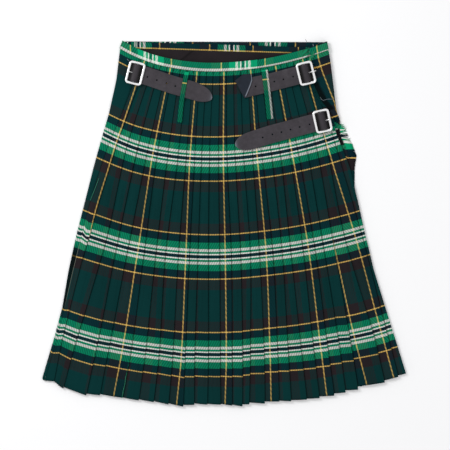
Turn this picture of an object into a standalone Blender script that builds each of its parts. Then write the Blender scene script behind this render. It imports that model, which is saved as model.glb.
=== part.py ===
"""A kilt laid flat on its aprons, with the pleated back upwards.

The file works in millimetres and turns them into metres when a mesh is made.
+Y points to the waist, +X to the right of the back, and +Z up from the surface.
A weft line of the cloth is named by its height y on the kilt's middle line.
"""
import bpy
import bmesh
from collections import namedtuple
from math import cos, pi, radians, sin
from mathutils import Matrix, Vector

MM = 0.001

# Driving sizes
CLOTH = 1.0                 # thickness of the worsted cloth
GAP = 0.3                   # between pieces that touch
LAYER = CLOTH + GAP
HALF = CLOTH / 2
LEATHER = 2.2               # thickness of a strap
STRAP_HALF_WIDTH = 15.8
BUCKLE_LENGTH = 27.0        # along the strap
BUCKLE_WIDTH = 38.8         # across the strap
BUCKLE_WIRE = 3.2
BUCKLE_CORNER = 4.2
BAR_SHORT = 0.2             # the centre bar ends this far before the middle of the rails
CENTRE_BAR = 2.4
PRONG = 2.2
TAB = 1.0                   # thickness of the tab under a strap
TAB_HALF_WIDTH = 13.0
LOOP_HALF_WIDTH = 6.0
FRINGE_STRIP = 2.4          # width of the strip that the strands grow from

# Middle of the whole kilt, in the numbers that this file uses
CENTRE_X = 0.03
CENTRE_Y = 0.62

# Middle line of the fan that the back spreads into
FAN_MIDDLE = -21.5
WAIST_Y = 284.0
FELL_Y = 115.0
HIP_Y = -57.0
KNEE_Y = -229.0
HEM_Y = -320.5
BAND_HEIGHT = 14.6

# Each row is a weft line.
#   left_lift, right_lift   rise of the line 100 mm from the fan's middle
#   left, right             outermost points of the left side and of the back
#   seam                    where the over-apron's lap meets the pleated back
#   base                    middle height of the back's lowest layer
Row = namedtuple("Row", "y left_lift right_lift left seam right base")
ROWS = (
    Row(284.0, 13.4, 9.2, -182.0, -141.5, 172.5, 4.4),
    Row(219.0, 13.0, 8.4, -190.0, -161.0, 185.0, 4.4),
    Row(153.5, 11.3, 7.9, -204.0, -184.5, 193.0, 4.4),
    Row(124.0, 11.6, 7.9, -211.5, -195.0, 197.0, 4.2),
    Row(97.0, 10.8, 7.4, -219.0, -205.5, 207.0, 3.7),
    Row(60.0, 9.1, 6.5, -230.0, -218.5, 222.0, 3.1),
    Row(0.0, 8.1, 6.2, -245.0, -236.5, 236.0, 3.1),
    Row(-57.0, 7.1, 5.8, -259.5, -251.5, 248.5, 3.1),
    Row(-124.0, 6.2, 5.6, -274.5, -270.0, 264.0, 3.1),
    Row(-189.0, 5.6, 5.4, -286.0, -281.5, 283.5, 3.1),
    Row(-254.0, 5.2, 5.1, -302.5, -298.0, 302.0, 3.1),
    Row(-320.5, 5.3, 4.9, -321.0, -316.5, 321.0, 3.1),
)

# How the pleats lie at each row: the height of a pleat's stack above the
# base, and the share of the pleat's width that is turned under.
Press = namedtuple("Press", "y stack tuck")
PRESS = (
    Press(284.0, 1.3, 0.0),
    Press(124.0, 1.3, 0.0),
    Press(97.0, 2.6, 0.06),
    Press(60.0, 2.6, 0.30),
    Press(0.0, 2.6, 0.46),
    Press(-320.5, 2.6, 0.52),
)

# The knife pleats from left to right: x of the folded edge at five weft lines,
# height of the fold's corner at the hem, and the step up to the next pleat.
Pleat = namedtuple("Pleat", "name waist fell hip knee hem hem_y step")
PLEATS = (
    Pleat("a1", -130.0, -188.0, -239.0, -282.5, -300.0, -277.0, 0.0),
    Pleat("a2", -118.5, -171.5, -209.5, -259.5, -284.0, -289.5, 2.8),
    Pleat("a3", -108.0, -153.5, -189.5, -223.5, -243.5, -301.5, 2.8),
    Pleat("a4", -97.0, -136.0, -170.0, -202.5, -219.5, -301.5, 2.1),
    Pleat("b1", -86.5, -118.5, -141.5, -164.0, -179.5, -306.0, 0.5),
    Pleat("b2", -75.5, -100.0, -121.0, -139.0, -151.0, -310.5, 1.8),
    Pleat("b3", -64.5, -82.0, -104.0, -115.0, -124.5, -313.5, 1.8),
    Pleat("b4", -53.0, -67.5, -81.5, -91.0, -98.5, -317.5, 1.8),
    Pleat("c1", -42.0, -52.5, -62.0, -69.0, -72.5, -321.5, 2.8),
    Pleat("c2", -30.5, -40.5, -47.0, -52.5, -53.0, -318.5, 2.6),
    Pleat("c3", -19.0, -26.5, -28.5, -28.5, -30.0, -318.0, 1.1),
    Pleat("c4", -7.5, -10.5, -8.5, -7.5, -6.5, -318.0, 1.4),
    Pleat("d1", 4.0, 4.5, 12.0, 13.5, 14.0, -319.5, 1.4),
    Pleat("d2", 16.0, 19.0, 28.5, 32.0, 32.0, -321.0, 3.5),
    Pleat("d3", 28.0, 34.0, 45.5, 45.5, 44.0, -317.5, 3.3),
    Pleat("d4", 39.5, 49.5, 61.5, 70.0, 71.5, -316.0, 3.5),
    Pleat("e1", 51.0, 66.0, 85.0, 93.5, 97.0, -312.5, 1.4),
    Pleat("e2", 62.0, 82.5, 101.5, 112.0, 118.0, -312.0, 1.8),
    Pleat("e3", 73.5, 98.0, 116.5, 135.0, 145.5, -309.0, 1.4),
    Pleat("e4", 84.5, 114.0, 138.0, 156.5, 168.0, -306.5, 2.8),
    Pleat("f1", 95.5, 128.5, 158.5, 181.0, 194.0, -302.0, 3.5),
    Pleat("f2", 106.0, 144.0, 173.5, 201.0, 214.0, -296.5, 3.7),
    Pleat("f3", 117.0, 160.5, 191.5, 221.5, 236.0, -291.5, 5.5),
    Pleat("f4", 128.0, 177.0, 212.5, 262.0, 283.0, -279.0, 3.5),
    Pleat("g1", 139.0, 192.0, 241.5, 284.5, 307.0, -269.0, 2.3),
)
PLEAT_STATIONS = (WAIST_Y, FELL_Y, HIP_Y, KNEE_Y, HEM_Y)
LEFT_CORNER_DROP = -1.5     # of the hem's left corner, below its weft line
SOFT_PLEAT = "a1"           # flattens into a crease below the hip
SOFT_FROM_Y = -100.0
SOFT_STACK = 0.7
SOFT_TUCK = 0.9             # of the same pleat, from the hip down
FOLD_REST = 0.8             # a pleat starts this far right of the fold before it
RISE_CLEAR = 0.6            # and is up this far left of the cloth that it covers
SIDE_RISE = 0.6             # share of the last panel on which it rises to the side fold

# The over-apron's right edge.
#   out    outermost point where the cloth turns up round the side
#   edge   x of the cloth's edge where it lies flat
#   lap    width that lies on top of the back
#   curl   1 where the cloth is turned up, 0 where it is flat
#   top    middle height of the lap
Wrap = namedtuple("Wrap", "y out edge lap curl top")
WRAP = (
    Wrap(284.0, 180.5, 190.0, 27.0, 1.0, 8.3),
    Wrap(268.0, 184.0, 190.0, 27.5, 1.0, 8.3),
    Wrap(262.0, 185.5, 190.0, 28.0, 1.0, 7.0),
    Wrap(250.0, 187.5, 190.0, 28.5, 1.0, 7.0),
    Wrap(219.0, 191.5, 192.0, 30.0, 1.0, 7.0),
    Wrap(184.0, 195.5, 195.0, 18.5, 1.0, 7.0),
    Wrap(168.0, 197.5, 197.0, 9.5, 1.0, 7.0),
    Wrap(157.0, 199.5, 203.0, 5.0, 1.0, 7.0),
    Wrap(151.0, 201.8, 203.0, 1.2, 1.0, 7.0),
    Wrap(146.0, 203.5, 205.0, 1.0, 1.0, 3.5),
    Wrap(140.0, 205.0, 205.5, 1.0, 1.0, 2.5),
    Wrap(136.0, 205.0, 205.0, 1.0, 0.5, 2.5),
    Wrap(131.0, 205.0, 204.0, 1.0, 0.0, 2.5),
    Wrap(115.0, 206.0, 206.0, 1.0, 0.0, 2.5),
    Wrap(97.0, 213.5, 213.5, 1.0, 0.0, 2.5),
    Wrap(78.0, 220.0, 220.0, 1.0, 0.0, 2.5),
    Wrap(20.0, 218.5, 218.5, 1.0, 0.0, 2.5),
    Wrap(-81.0, 225.5, 225.5, 1.0, 0.0, 2.5),
    Wrap(-320.5, 243.0, 243.0, 1.0, 0.0, 2.5),
)
OVER_Z = HALF                       # middle heights of the flat layers
UNDER_Z = OVER_Z + LAYER
LINING_Z = UNDER_Z + LAYER
APRON_HEM_INSET = 5.0               # aprons are this much shorter than the back
APRON_BOW = 9.0                     # the aprons' hem is this much lower in the middle
UNDER_RIGHT_DROP = 6.0              # the inner apron sits lower at its right end
UNDER_LEFT_INSET = 8.0
UNDER_TOP_INSET = 1.5
LINING_BOTTOM_Y = 168.0
FACING_WIDTH = 11.5
INSIDE_LEFT = 9.0           # the facing and lining start this far inside the left side
INSIDE_RIGHT_X = 152.0
INSIDE_STEPS = 8
LINING_SPREAD = 6.0         # widening of the lining towards its lower left corner
WRAP_FLATTENS_Y = 160.0     # below it the over-apron's edge keeps the back's lift
FOLD_STEPS = 4
SIDE_TURN = 10.0            # width of cloth that is turned under at the right side


# Interpolation in the tables
def between(table, field, y):
    """Straight interpolation of one column of a table that runs down in y."""
    upper = table[0]
    for lower in table[1:]:
        if y >= lower.y:
            share = min(max((upper.y - y) / (upper.y - lower.y), 0.0), 1.0)
            first = getattr(upper, field)
            return first + share * (getattr(lower, field) - first)
        upper = lower
    return getattr(upper, field)


def row_value(field, y):
    return between(ROWS, field, y)


def weft_y(y, x):
    """Height at x of the weft line that crosses the fan's middle at y."""
    side = "left_lift" if x < FAN_MIDDLE else "right_lift"
    return y + row_value(side, y) * ((x - FAN_MIDDLE) / 100.0) ** 2


def fold_x(pleat, y):
    """x of a pleat's folded edge, on a smooth curve through its five points."""
    xs = (pleat.waist, pleat.fell, pleat.hip, pleat.knee, pleat.hem)
    ys = PLEAT_STATIONS
    k = 0
    while k < len(ys) - 2 and y < ys[k + 1]:
        k += 1
    span = ys[k + 1] - ys[k]

    def slope(i):
        low = max(i - 1, 0)
        high = min(i + 1, len(ys) - 1)
        return (xs[high] - xs[low]) / (ys[high] - ys[low])

    t = (y - ys[k]) / span
    a = slope(k) * span
    b = slope(k + 1) * span
    rise = xs[k + 1] - xs[k]
    return xs[k] + t * (a + t * (3 * rise - 2 * a - b + t * (a + b - 2 * rise)))


def droop_share(y):
    """How much of the hem's uneven corners a weft line has."""
    if y >= FELL_Y:
        return 0.0
    return ((FELL_Y - y) / (FELL_Y - HEM_Y)) ** 1.5


# Meshes
def material(name, colour, roughness, metallic=0.0):
    made = bpy.data.materials.new(name)
    made.use_nodes = True
    shader = made.node_tree.nodes["Principled BSDF"]
    shader.inputs["Base Color"].default_value = (*colour, 1.0)
    shader.inputs["Roughness"].default_value = roughness
    shader.inputs["Metallic"].default_value = metallic
    made.diffuse_color = (*colour, 1.0)
    return made


def add_object(name, mesh, finish):
    obj = bpy.data.objects.new(name, mesh)
    parts.objects.link(obj)
    mesh.materials.append(finish)
    return obj


def mesh_from(bm, name):
    mesh = bpy.data.meshes.new(name)
    bm.to_mesh(mesh)
    bm.free()
    return mesh


def sheet(name, grid, thickness, finish):
    """A wall of even thickness round a grid of middle points."""
    bm = bmesh.new()
    rows = [[bm.verts.new(Vector(point) * MM) for point in line] for line in grid]
    for upper, lower in zip(rows, rows[1:]):
        for i in range(len(upper) - 1):
            bm.faces.new((upper[i], lower[i], lower[i + 1], upper[i + 1]))
    obj = add_object(name, mesh_from(bm, name), finish)
    wall = obj.modifiers.new("wall", "SOLIDIFY")
    wall.thickness = thickness * MM
    wall.offset = 0.0
    wall.use_even_offset = True
    return obj


def loft(name, lines, finish):
    """A closed wall between rows of pairs of an outer and an inner point."""
    bm = bmesh.new()
    rows = []
    for line in lines:
        rows.append([[bm.verts.new(Vector(point) * MM) for point in pair] for pair in line])
    for upper, lower in zip(rows, rows[1:]):
        for i in range(len(upper) - 1):
            bm.faces.new((upper[i][0], lower[i][0], lower[i + 1][0], upper[i + 1][0]))
            bm.faces.new((upper[i][1], upper[i + 1][1], lower[i + 1][1], lower[i][1]))
        bm.faces.new((upper[0][0], upper[0][1], lower[0][1], lower[0][0]))
        bm.faces.new((upper[-1][0], lower[-1][0], lower[-1][1], upper[-1][1]))
    for here, after in zip(rows[0], rows[0][1:]):
        bm.faces.new((here[0], after[0], after[1], here[1]))
    for here, after in zip(rows[-1], rows[-1][1:]):
        bm.faces.new((here[1], after[1], after[0], here[0]))
    bmesh.ops.recalc_face_normals(bm, faces=bm.faces)
    return add_object(name, mesh_from(bm, name), finish)


def wall_pairs(line):
    """Pairs either side of a section's middle points, in the section's own plane."""
    pairs = []
    for i, point in enumerate(line):
        before = line[max(i - 1, 0)]
        after = line[min(i + 1, len(line) - 1)]
        first = Vector((point[0] - before[0], point[2] - before[2]))
        second = Vector((after[0] - point[0], after[2] - point[2]))
        first = first.normalized() if first.length else second.normalized()
        second = second.normalized() if second.length else first
        along = (first + second).normalized()
        reach = HALF / max(along.dot(first), 0.7)
        shift = Vector((-along.y * reach, 0.0, along.x * reach))
        middle = Vector(point)
        pairs.append((middle + shift, middle - shift))
    return pairs


def soften(obj, width):
    """Round the long edges of a leather or metal piece."""
    bevel = obj.modifiers.new("edges", "BEVEL")
    bevel.width = width * MM
    bevel.segments = 1
    bevel.limit_method = "ANGLE"
    bevel.angle_limit = radians(50)


def cut(obj, centre, size, turn):
    """Cut a box through a piece."""
    bm = bmesh.new()
    bmesh.ops.create_cube(bm, size=1.0)
    place = Matrix.Translation(Vector(centre) * MM) @ Matrix.Rotation(turn, 4, "Z")
    bm.transform(place @ Matrix.Diagonal((*[s * MM for s in size], 1.0)))
    cutter = bpy.data.objects.new(obj.name + "_slot", mesh_from(bm, "slot"))
    cutters.objects.link(cutter)
    cutter.hide_render = True
    cutter.display_type = "WIRE"
    slot = obj.modifiers.new("slot", "BOOLEAN")
    slot.object = cutter
    slot.operation = "DIFFERENCE"


# Pleated back
def pleat_pairs(y):
    """The back's section at a weft line, as pairs of an outer and an inner point.

    Each pleat rises from the base to the top of its stack, turns under at its
    folded edge, runs back by its tuck, and comes down to the base again.
    """
    base = row_value("base", y)
    share = droop_share(y)
    drop = LEFT_CORNER_DROP
    last_x = row_value("seam", y) + GAP / 2
    start_x = last_x
    pairs = []

    def pair(outer_x, outer_z, inner_x, inner_z, fall):
        outer = (outer_x, weft_y(y, outer_x) + share * fall, outer_z)
        inner = (inner_x, weft_y(y, inner_x) + share * fall, inner_z)
        pairs.append((outer, inner))

    for pleat in PLEATS:
        edge = fold_x(pleat, y)
        soft = pleat.name == SOFT_PLEAT and y < SOFT_FROM_Y
        stack = SOFT_STACK if soft else between(PRESS, "stack", y)
        tuck = 0.0 if soft else between(PRESS, "tuck", y) * (edge - last_x)
        if pleat.name == SOFT_PLEAT and y <= HIP_Y:
            tuck = min(tuck, SOFT_TUCK)
        opened = min(max((stack - LAYER) / LAYER, 0.0), 1.0)
        top = base + stack
        corner_drop = pleat.hem_y - weft_y(HEM_Y, pleat.hem)
        upper = (top + HALF, top - HALF)
        lower = (base + HALF, base - HALF)

        def level(k, part, folded):
            plain = upper[k] + part * (lower[k] - upper[k])
            return plain + opened * (folded - plain)

        middle = base + LAYER
        outer_turn = level(0, 1 / 3, middle - HALF)
        outer_back = level(0, 2 / 3, middle - HALF)
        inner_turn = level(1, 1 / 3, middle + HALF)
        inner_back = level(1, 2 / 3, middle + HALF)
        rise_x = edge - tuck - CLOTH - RISE_CLEAR
        fall_here = drop + (corner_drop - drop) * (rise_x - last_x) / (edge - last_x)
        after = corner_drop + pleat.step
        pair(start_x, lower[0], start_x, lower[1], drop)
        pair(rise_x, upper[0], rise_x, upper[1], fall_here)
        pair(edge, upper[0], edge - CLOTH, upper[1], corner_drop)
        pair(edge, outer_turn, edge - CLOTH, inner_turn, corner_drop)
        pair(edge - tuck, outer_back, edge - tuck - CLOTH, inner_back, after)
        pair(edge - tuck, lower[0], edge - tuck - CLOTH, lower[1], after)
        drop = after
        last_x = edge
        start_x = edge + FOLD_REST

    # Right side fold, down to the level of the inner apron
    rim_x, rim_top, radius = side_fold(y)
    outer_y = weft_y(y, rim_x)
    rise_x = start_x + SIDE_RISE * (rim_x - start_x)
    pair(start_x, lower[0], start_x, lower[1], drop)
    pair(rise_x, rim_top + HALF, rise_x, rim_top - HALF, drop / 2)
    centre_z = rim_top - radius
    for k in range(FOLD_STEPS + 1):
        angle = pi / 2 - pi * k / FOLD_STEPS
        outer = (rim_x + (radius + HALF) * cos(angle), outer_y, centre_z + (radius + HALF) * sin(angle))
        inner = (rim_x + (radius - HALF) * cos(angle), outer_y, centre_z + (radius - HALF) * sin(angle))
        pairs.append((outer, inner))
    end_x = rim_x - SIDE_TURN
    end_y = under_y(y, end_x - GAP)
    pairs.append(((end_x, end_y, UNDER_Z - HALF), (end_x, end_y, UNDER_Z + HALF)))
    return pairs


def side_fold(y):
    """Centre x, top height and radius of the back's right side fold."""
    rim_top = row_value("base", y) + LAYER
    radius = (rim_top - UNDER_Z) / 2
    rim_x = row_value("right", y) - HALF - radius
    return rim_x, rim_top, radius


def build_pleated_back():
    return loft("pleated_back", [pleat_pairs(row.y) for row in ROWS], CLOTH_GREEN)


# Aprons
def apron_y(y, x, left_x, right_x):
    """Height at x of a weft line of the flat aprons: nearly straight."""
    left_y = weft_y(y, left_x)
    right_y = weft_y(y, right_x)
    share = (x - left_x) / (right_x - left_x)
    down = (WAIST_Y - y) / (WAIST_Y - HEM_Y)
    bow = APRON_BOW * down * 4 * share * (1 - share)
    return left_y + share * (right_y - left_y) - bow + APRON_HEM_INSET * down


def wrap_points(y):
    """Points of the over-apron's right end at a weft line, inner to edge."""
    out = between(WRAP, "out", y)
    edge = between(WRAP, "edge", y)
    lap = between(WRAP, "lap", y)
    curl = between(WRAP, "curl", y)
    top = between(WRAP, "top", y)
    turn = pi * (top - OVER_Z) / 2
    rolled_start = out - HALF - (top - OVER_Z) / 2
    flat_start = edge - turn - lap
    start = flat_start + curl * (rolled_start - flat_start)
    end_angle = pi * curl
    left_x = row_value("left", y)
    steps = [turn * k / 6 for k in range(7)] + [turn + lap * k / 3 for k in (1, 2, 3)]
    points = []
    for s in steps:
        bent = min(s, turn)
        if curl:
            radius = turn / end_angle
            x = start + radius * sin(bent / radius)
            z = OVER_Z + radius * (1 - cos(bent / radius))
        else:
            x = start + bent
            z = OVER_Z
        x += (s - bent) * cos(end_angle)
        z += (s - bent) * sin(end_angle)
        side_y = weft_y(y, x)
        flat_y = apron_y(y, x, left_x, out)
        on_top = curl * min(s / turn, 1.0)
        near = min(s / turn, 1.0) if y < WRAP_FLATTENS_Y else on_top
        points.append((x, flat_y + near * (side_y - flat_y), z))
    return points


def build_over_apron():
    heights = sorted({row.y for row in ROWS} | {wrap.y for wrap in WRAP}, reverse=True)
    grid = []
    for y in heights:
        left_x = row_value("left", y)
        lap_z = row_value("base", y)
        radius = (lap_z - OVER_Z) / 2
        centre_x = left_x + HALF + radius
        seam = row_value("seam", y) - GAP / 2
        share = droop_share(y)
        line = []
        for k in range(3):
            x = seam + (centre_x - seam) * k / 3
            line.append((x, weft_y(y, x) + share * LEFT_CORNER_DROP, lap_z))
        for k in range(6):
            angle = pi / 2 + pi * k / 5
            x = centre_x + radius * cos(angle)
            z = (lap_z + OVER_Z) / 2 + radius * sin(angle)
            fade = (1 - k / 5) * share * LEFT_CORNER_DROP
            low = apron_y(y, x, left_x, row_value("right", y))
            line.append((x, weft_y(y, x) * (1 - k / 5) + low * k / 5 + fade, z))
        wrap = wrap_points(y)
        first = wrap[0]
        for k in range(1, 6):
            x = centre_x + (first[0] - centre_x) * k / 6
            line.append((x, apron_y(y, x, left_x, between(WRAP, "out", y)), OVER_Z))
        grid.append(wall_pairs(line + wrap))
    return loft("over_apron", grid, CLOTH_GREEN)


def under_y(y, x):
    """Height at x of a weft line of the inner apron."""
    left_x = row_value("left", y)
    right_x = row_value("right", y)
    down = (WAIST_Y - y) / (WAIST_Y - HEM_Y)
    drop = UNDER_TOP_INSET + UNDER_RIGHT_DROP * (x - left_x) / (right_x - left_x)
    return apron_y(y, x, left_x, right_x) - drop * (1 - down)


def build_under_apron():
    grid = []
    for row in ROWS:
        left_x = row.left + UNDER_LEFT_INSET
        right_x = side_fold(row.y)[0] - SIDE_TURN - GAP
        xs = [left_x + (right_x - left_x) * k / 5 for k in range(6)]
        grid.append([(x, under_y(row.y, x), UNDER_Z) for x in xs])
    return sheet("under_apron", grid, CLOTH, CLOTH_GREEN)


def build_inside():
    left_x = row_value("left", WAIST_Y) + INSIDE_LEFT
    xs = [left_x + (INSIDE_RIGHT_X - left_x) * k / INSIDE_STEPS for k in range(INSIDE_STEPS + 1)]
    top = [(x, under_y(WAIST_Y, x), LINING_Z) for x in xs]
    low = [(x, under_y(WAIST_Y, x) - FACING_WIDTH, LINING_Z) for x in xs]
    sheet("waistband_facing", [top, low], CLOTH, CLOTH_NAVY)
    start = [(x, under_y(WAIST_Y, x) - FACING_WIDTH - GAP, LINING_Z) for x in xs]
    end = [(x - (0.0 if x > 0 else LINING_SPREAD), weft_y(LINING_BOTTOM_Y, x), LINING_Z) for x in xs]
    halfway = [tuple((a + b) / 2 for a, b in zip(p, q)) for p, q in zip(start, end)]
    sheet("lining", [start, halfway, end], CLOTH, CLOTH_BLACK)


# Waistband
BAND_ABOVE = 0.8            # the band stands this much above the cloth's edge
BAND_RIGHT_X = 170.0
BAND_STEPS = 20
FLAP_END_X = -152.0         # the band is down on the over-apron's flap up to here
PLEATS_START_X = -138.0     # and up on the pleats from here


def build_waistband():
    bottom_y = WAIST_Y - BAND_HEIGHT
    side_z = row_value("base", WAIST_Y) + LAYER
    top_z = side_z + LAYER
    radius = (row_value("base", WAIST_Y) - OVER_Z) / 2
    lines = []
    for y in (WAIST_Y + BAND_ABOVE, bottom_y):
        centre = row_value("left", y) + HALF + radius
        line = []
        for k in range(3):
            angle = pi - pi / 2 * k / 3
            x = centre + (radius + LAYER) * cos(angle)
            line.append((x, weft_y(y, x), OVER_Z + radius + (radius + LAYER) * sin(angle)))
        line += [(x, weft_y(y, x), side_z) for x in (centre, FLAP_END_X)]
        for k in range(BAND_STEPS + 1):
            x = PLEATS_START_X + (BAND_RIGHT_X - PLEATS_START_X) * k / BAND_STEPS
            line.append((x, weft_y(y, x), top_z))
        lines.append(line)
    sheet("waistband_back", lines, CLOTH, CLOTH_BRIGHT)

    # On the over-apron's lap the strip follows the turned cloth, moved out
    lap_lines = []
    for y in (WAIST_Y + BAND_ABOVE, bottom_y):
        top = between(WRAP, "top", y)
        lap = between(WRAP, "lap", y)
        wrap_radius = (top - OVER_Z) / 2
        centre = between(WRAP, "out", y) - HALF - wrap_radius
        line = []
        for k in range(4):
            angle = pi / 2 * k / 3
            x = centre + (wrap_radius + LAYER) * cos(angle)
            line.append((x, weft_y(y, x), OVER_Z + wrap_radius + (wrap_radius + LAYER) * sin(angle)))
        for k in range(1, 5):
            x = centre - lap * k / 4
            line.append((x, weft_y(y, x), top + LAYER))
        lap_lines.append(line)
    sheet("waistband_apron", lap_lines, CLOTH, CLOTH_BRIGHT)


# Fringe and facing of the over-apron's right edge
FRINGE_TOP_Y = 257.0
FRINGE_SHOWN_Y = 10.0
STRANDS_SHOWN = 70
STRANDS_HIDDEN = 38
FRINGE_END_Y = HEM_Y + 6.0
STRAND_HALF = 0.45          # half the strip's thickness, where the strands start
STRAND_TAPER = 0.45         # size of a strand's tip, to its root
# Reach of the strands past the strip, from the waist down
Reach = namedtuple("Reach", "y length")
REACH = (Reach(257.0, 4.0), Reach(162.0, 4.0), Reach(154.0, 1.5), Reach(137.0, 1.5),
         Reach(130.0, 7.0), Reach(78.0, 12.5), Reach(10.0, 10.0), Reach(-320.5, 9.0))


def edge_at(y):
    """End of the over-apron's cloth and the way that its fringe points."""
    angle = pi * between(WRAP, "curl", y)
    return Vector(wrap_points(y)[-1]), Vector((cos(angle), 0.0, sin(angle)))


def build_fringe():
    shown_step = (FRINGE_SHOWN_Y - FRINGE_TOP_Y) / STRANDS_SHOWN
    hidden_step = (FRINGE_END_Y - FRINGE_SHOWN_Y) / STRANDS_HIDDEN
    heights = {FRINGE_TOP_Y + shown_step * k for k in range(STRANDS_SHOWN)}
    heights |= {FRINGE_SHOWN_Y + hidden_step * k for k in range(STRANDS_HIDDEN + 1)}
    heights |= {row.y for row in ROWS + WRAP if FRINGE_END_Y < row.y < FRINGE_TOP_Y}
    heights = sorted(heights, reverse=True)
    bm = bmesh.new()
    rails = []
    for y in heights:
        tip, along = edge_at(y)
        across = Vector((along.z, 0.0, -along.x))
        start = GAP + HALF * abs(along.z)
        corners = []
        for distance in (start, start + FRINGE_STRIP):
            for side in (STRAND_HALF, -STRAND_HALF):
                corners.append(bm.verts.new((tip + along * distance + across * side) * MM))
        rails.append((corners, along))
    for k in range(len(rails) - 1):
        here, along = rails[k]
        after = rails[k + 1][0]
        bm.faces.new((here[0], after[0], after[2], here[2]))
        bm.faces.new((here[1], here[3], after[3], after[1]))
        bm.faces.new((here[0], here[1], after[1], after[0]))
        # A strand grows from each stretch of the strip, of uneven length
        length = between(REACH, "length", heights[k]) * (0.85 + 0.15 * cos(k * 2.4))
        root = [here[2], here[3], after[3], after[2]]
        middle = sum((v.co for v in root), Vector()) / 4
        tips = []
        for v in root:
            tips.append(bm.verts.new(middle + (v.co - middle) * STRAND_TAPER + along * length * MM))
        for a, b, ta, tb in zip(root, root[1:] + root[:1], tips, tips[1:] + tips[:1]):
            bm.faces.new((a, ta, tb, b))
        bm.faces.new(tips[::-1])
    for end, _ in (rails[0], rails[-1]):
        bm.faces.new((end[0], end[2], end[3], end[1]))
    bmesh.ops.recalc_face_normals(bm, faces=bm.faces)
    add_object("apron_fringe", mesh_from(bm, "apron_fringe"), CLOTH_GREEN)


FACING_TOP_Y = 128.0
FACING_LENGTH = 29.0
FACING_OUT = 0.6            # from the back's side
FACING_IN = 0.8             # from the over-apron's edge


def build_apron_facing():
    grid = []
    for k in range(4):
        y = FACING_TOP_Y - FACING_LENGTH * k / 3
        inner = row_value("right", y) + FACING_OUT
        outer = edge_at(y)[0].x - FACING_IN
        line = [(x, weft_y(y, x), OVER_Z + LAYER) for x in (inner, (inner + outer) / 2, outer)]
        grid.append(line)
    sheet("apron_facing", grid, CLOTH, CLOTH_BLACK)


# Straps, buckles and belt loops
#   heading   1 where the tip points right of the buckle, -1 where left
#   turn      angle of the buckle
#   seat      top of the cloth under the buckle
#   path      middle line of the strap, from 20 mm past the buckle to its tip
Strap = namedtuple("Strap", "name centre heading turn seat path")
STRAPS = (
    Strap("left", (-156.5, 266.2), 1, radians(-14), 6.2, ((-92.0, 247.4), (-43.0, 233.7), (-21.0, 227.6))),
    Strap("right", (144.0, 265.8), -1, radians(13.8), 7.5, ((86.5, 251.3), (44.0, 240.8), (29.0, 238.5))),
    Strap("hip", (173.0, 181.8), -1, radians(12.5), 6.2, ((81.0, 158.2), (54.0, 149.5), (20.0, 141.8))),
)
PLEAT_TOP = 6.2             # top of the pleats under the straps
STRAP_ON_CLOTH = PLEAT_TOP + GAP + LEATHER / 2
TAB_END = 30.0
STRAP_START = -13.2
STRAIGHT = 20.0             # of the strap, past the buckle's centre
BULGE_FOOT = 9.6            # from the centre bar to where the strap is down again
BULGE_SHOULDER = 3.4
SHOULDER_DROP = 0.7
BAR_RISE = 4.6              # of the centre bar, above the cloth
TIP_LENGTH = 26.0           # of a strap's rounded end
TIP_FULLNESS = 0.8
STRAP_STEP = 16.0
SLOT_PLAY = 1.4             # a prong's slot is this much wider than the prong
FOLD_LINE = ((20.5, 254.0), (37.5, 223.0))
FLAP_LINES = (((28.0, 261.0), (43.5, 244.0)), ((34.0, 265.0), (48.5, 262.0)))


# Heights at a buckle, above the cloth that it sits on
def tab_z(strap):
    return strap.seat + GAP + TAB / 2


def strap_on_tab(strap):
    return strap.seat + GAP + TAB + GAP + LEATHER / 2


def frame_z(strap):
    return strap_on_tab(strap) + LEATHER / 2 + GAP + BUCKLE_WIRE / 2


def bar_z(strap):
    return strap.seat + BAR_RISE


def bulge_z(strap):
    return bar_z(strap) + CENTRE_BAR / 2 + GAP + TAB + GAP + LEATHER / 2


def lifts(strap):
    """Distance from the centre bar and height of the strap's middle."""
    low = strap_on_tab(strap)
    high = bulge_z(strap)
    shoulder = high - SHOULDER_DROP
    return ((STRAP_START, low), (-BULGE_FOOT, low), (-BULGE_SHOULDER, shoulder), (0.0, high),
            (BULGE_SHOULDER, shoulder), (BULGE_FOOT, low), (TAB_END + 1.5, low),
            (TAB_END + 9.0, STRAP_ON_CLOTH))


def strap_axis(strap):
    """Unit vector from the buckle to the tip, and the one to its left."""
    along = Vector((cos(strap.turn), sin(strap.turn))) * strap.heading
    return along, Vector((-along.y, along.x))


def path_points(strap):
    centre = Vector(strap.centre)
    return [centre, centre + strap_axis(strap)[0] * STRAIGHT] + [Vector(p) for p in strap.path]


def point_on_path(strap, distance):
    """Point and direction at a distance from the buckle's centre."""
    points = path_points(strap)
    left = distance
    for a, b in zip(points, points[1:]):
        step = (b - a).length
        direction = (b - a).normalized()
        if left <= step or b is points[-1]:
            break
        left -= step
    return a + direction * left, direction


def path_length(strap):
    points = path_points(strap)
    return sum((b - a).length for a, b in zip(points, points[1:]))


def strap_line(strap, distance, half_width, z):
    spot, direction = point_on_path(strap, distance)
    across = Vector((-direction.y, direction.x)) * half_width
    return [(*(spot + across), z), (*spot, z), (*(spot - across), z)]


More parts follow.
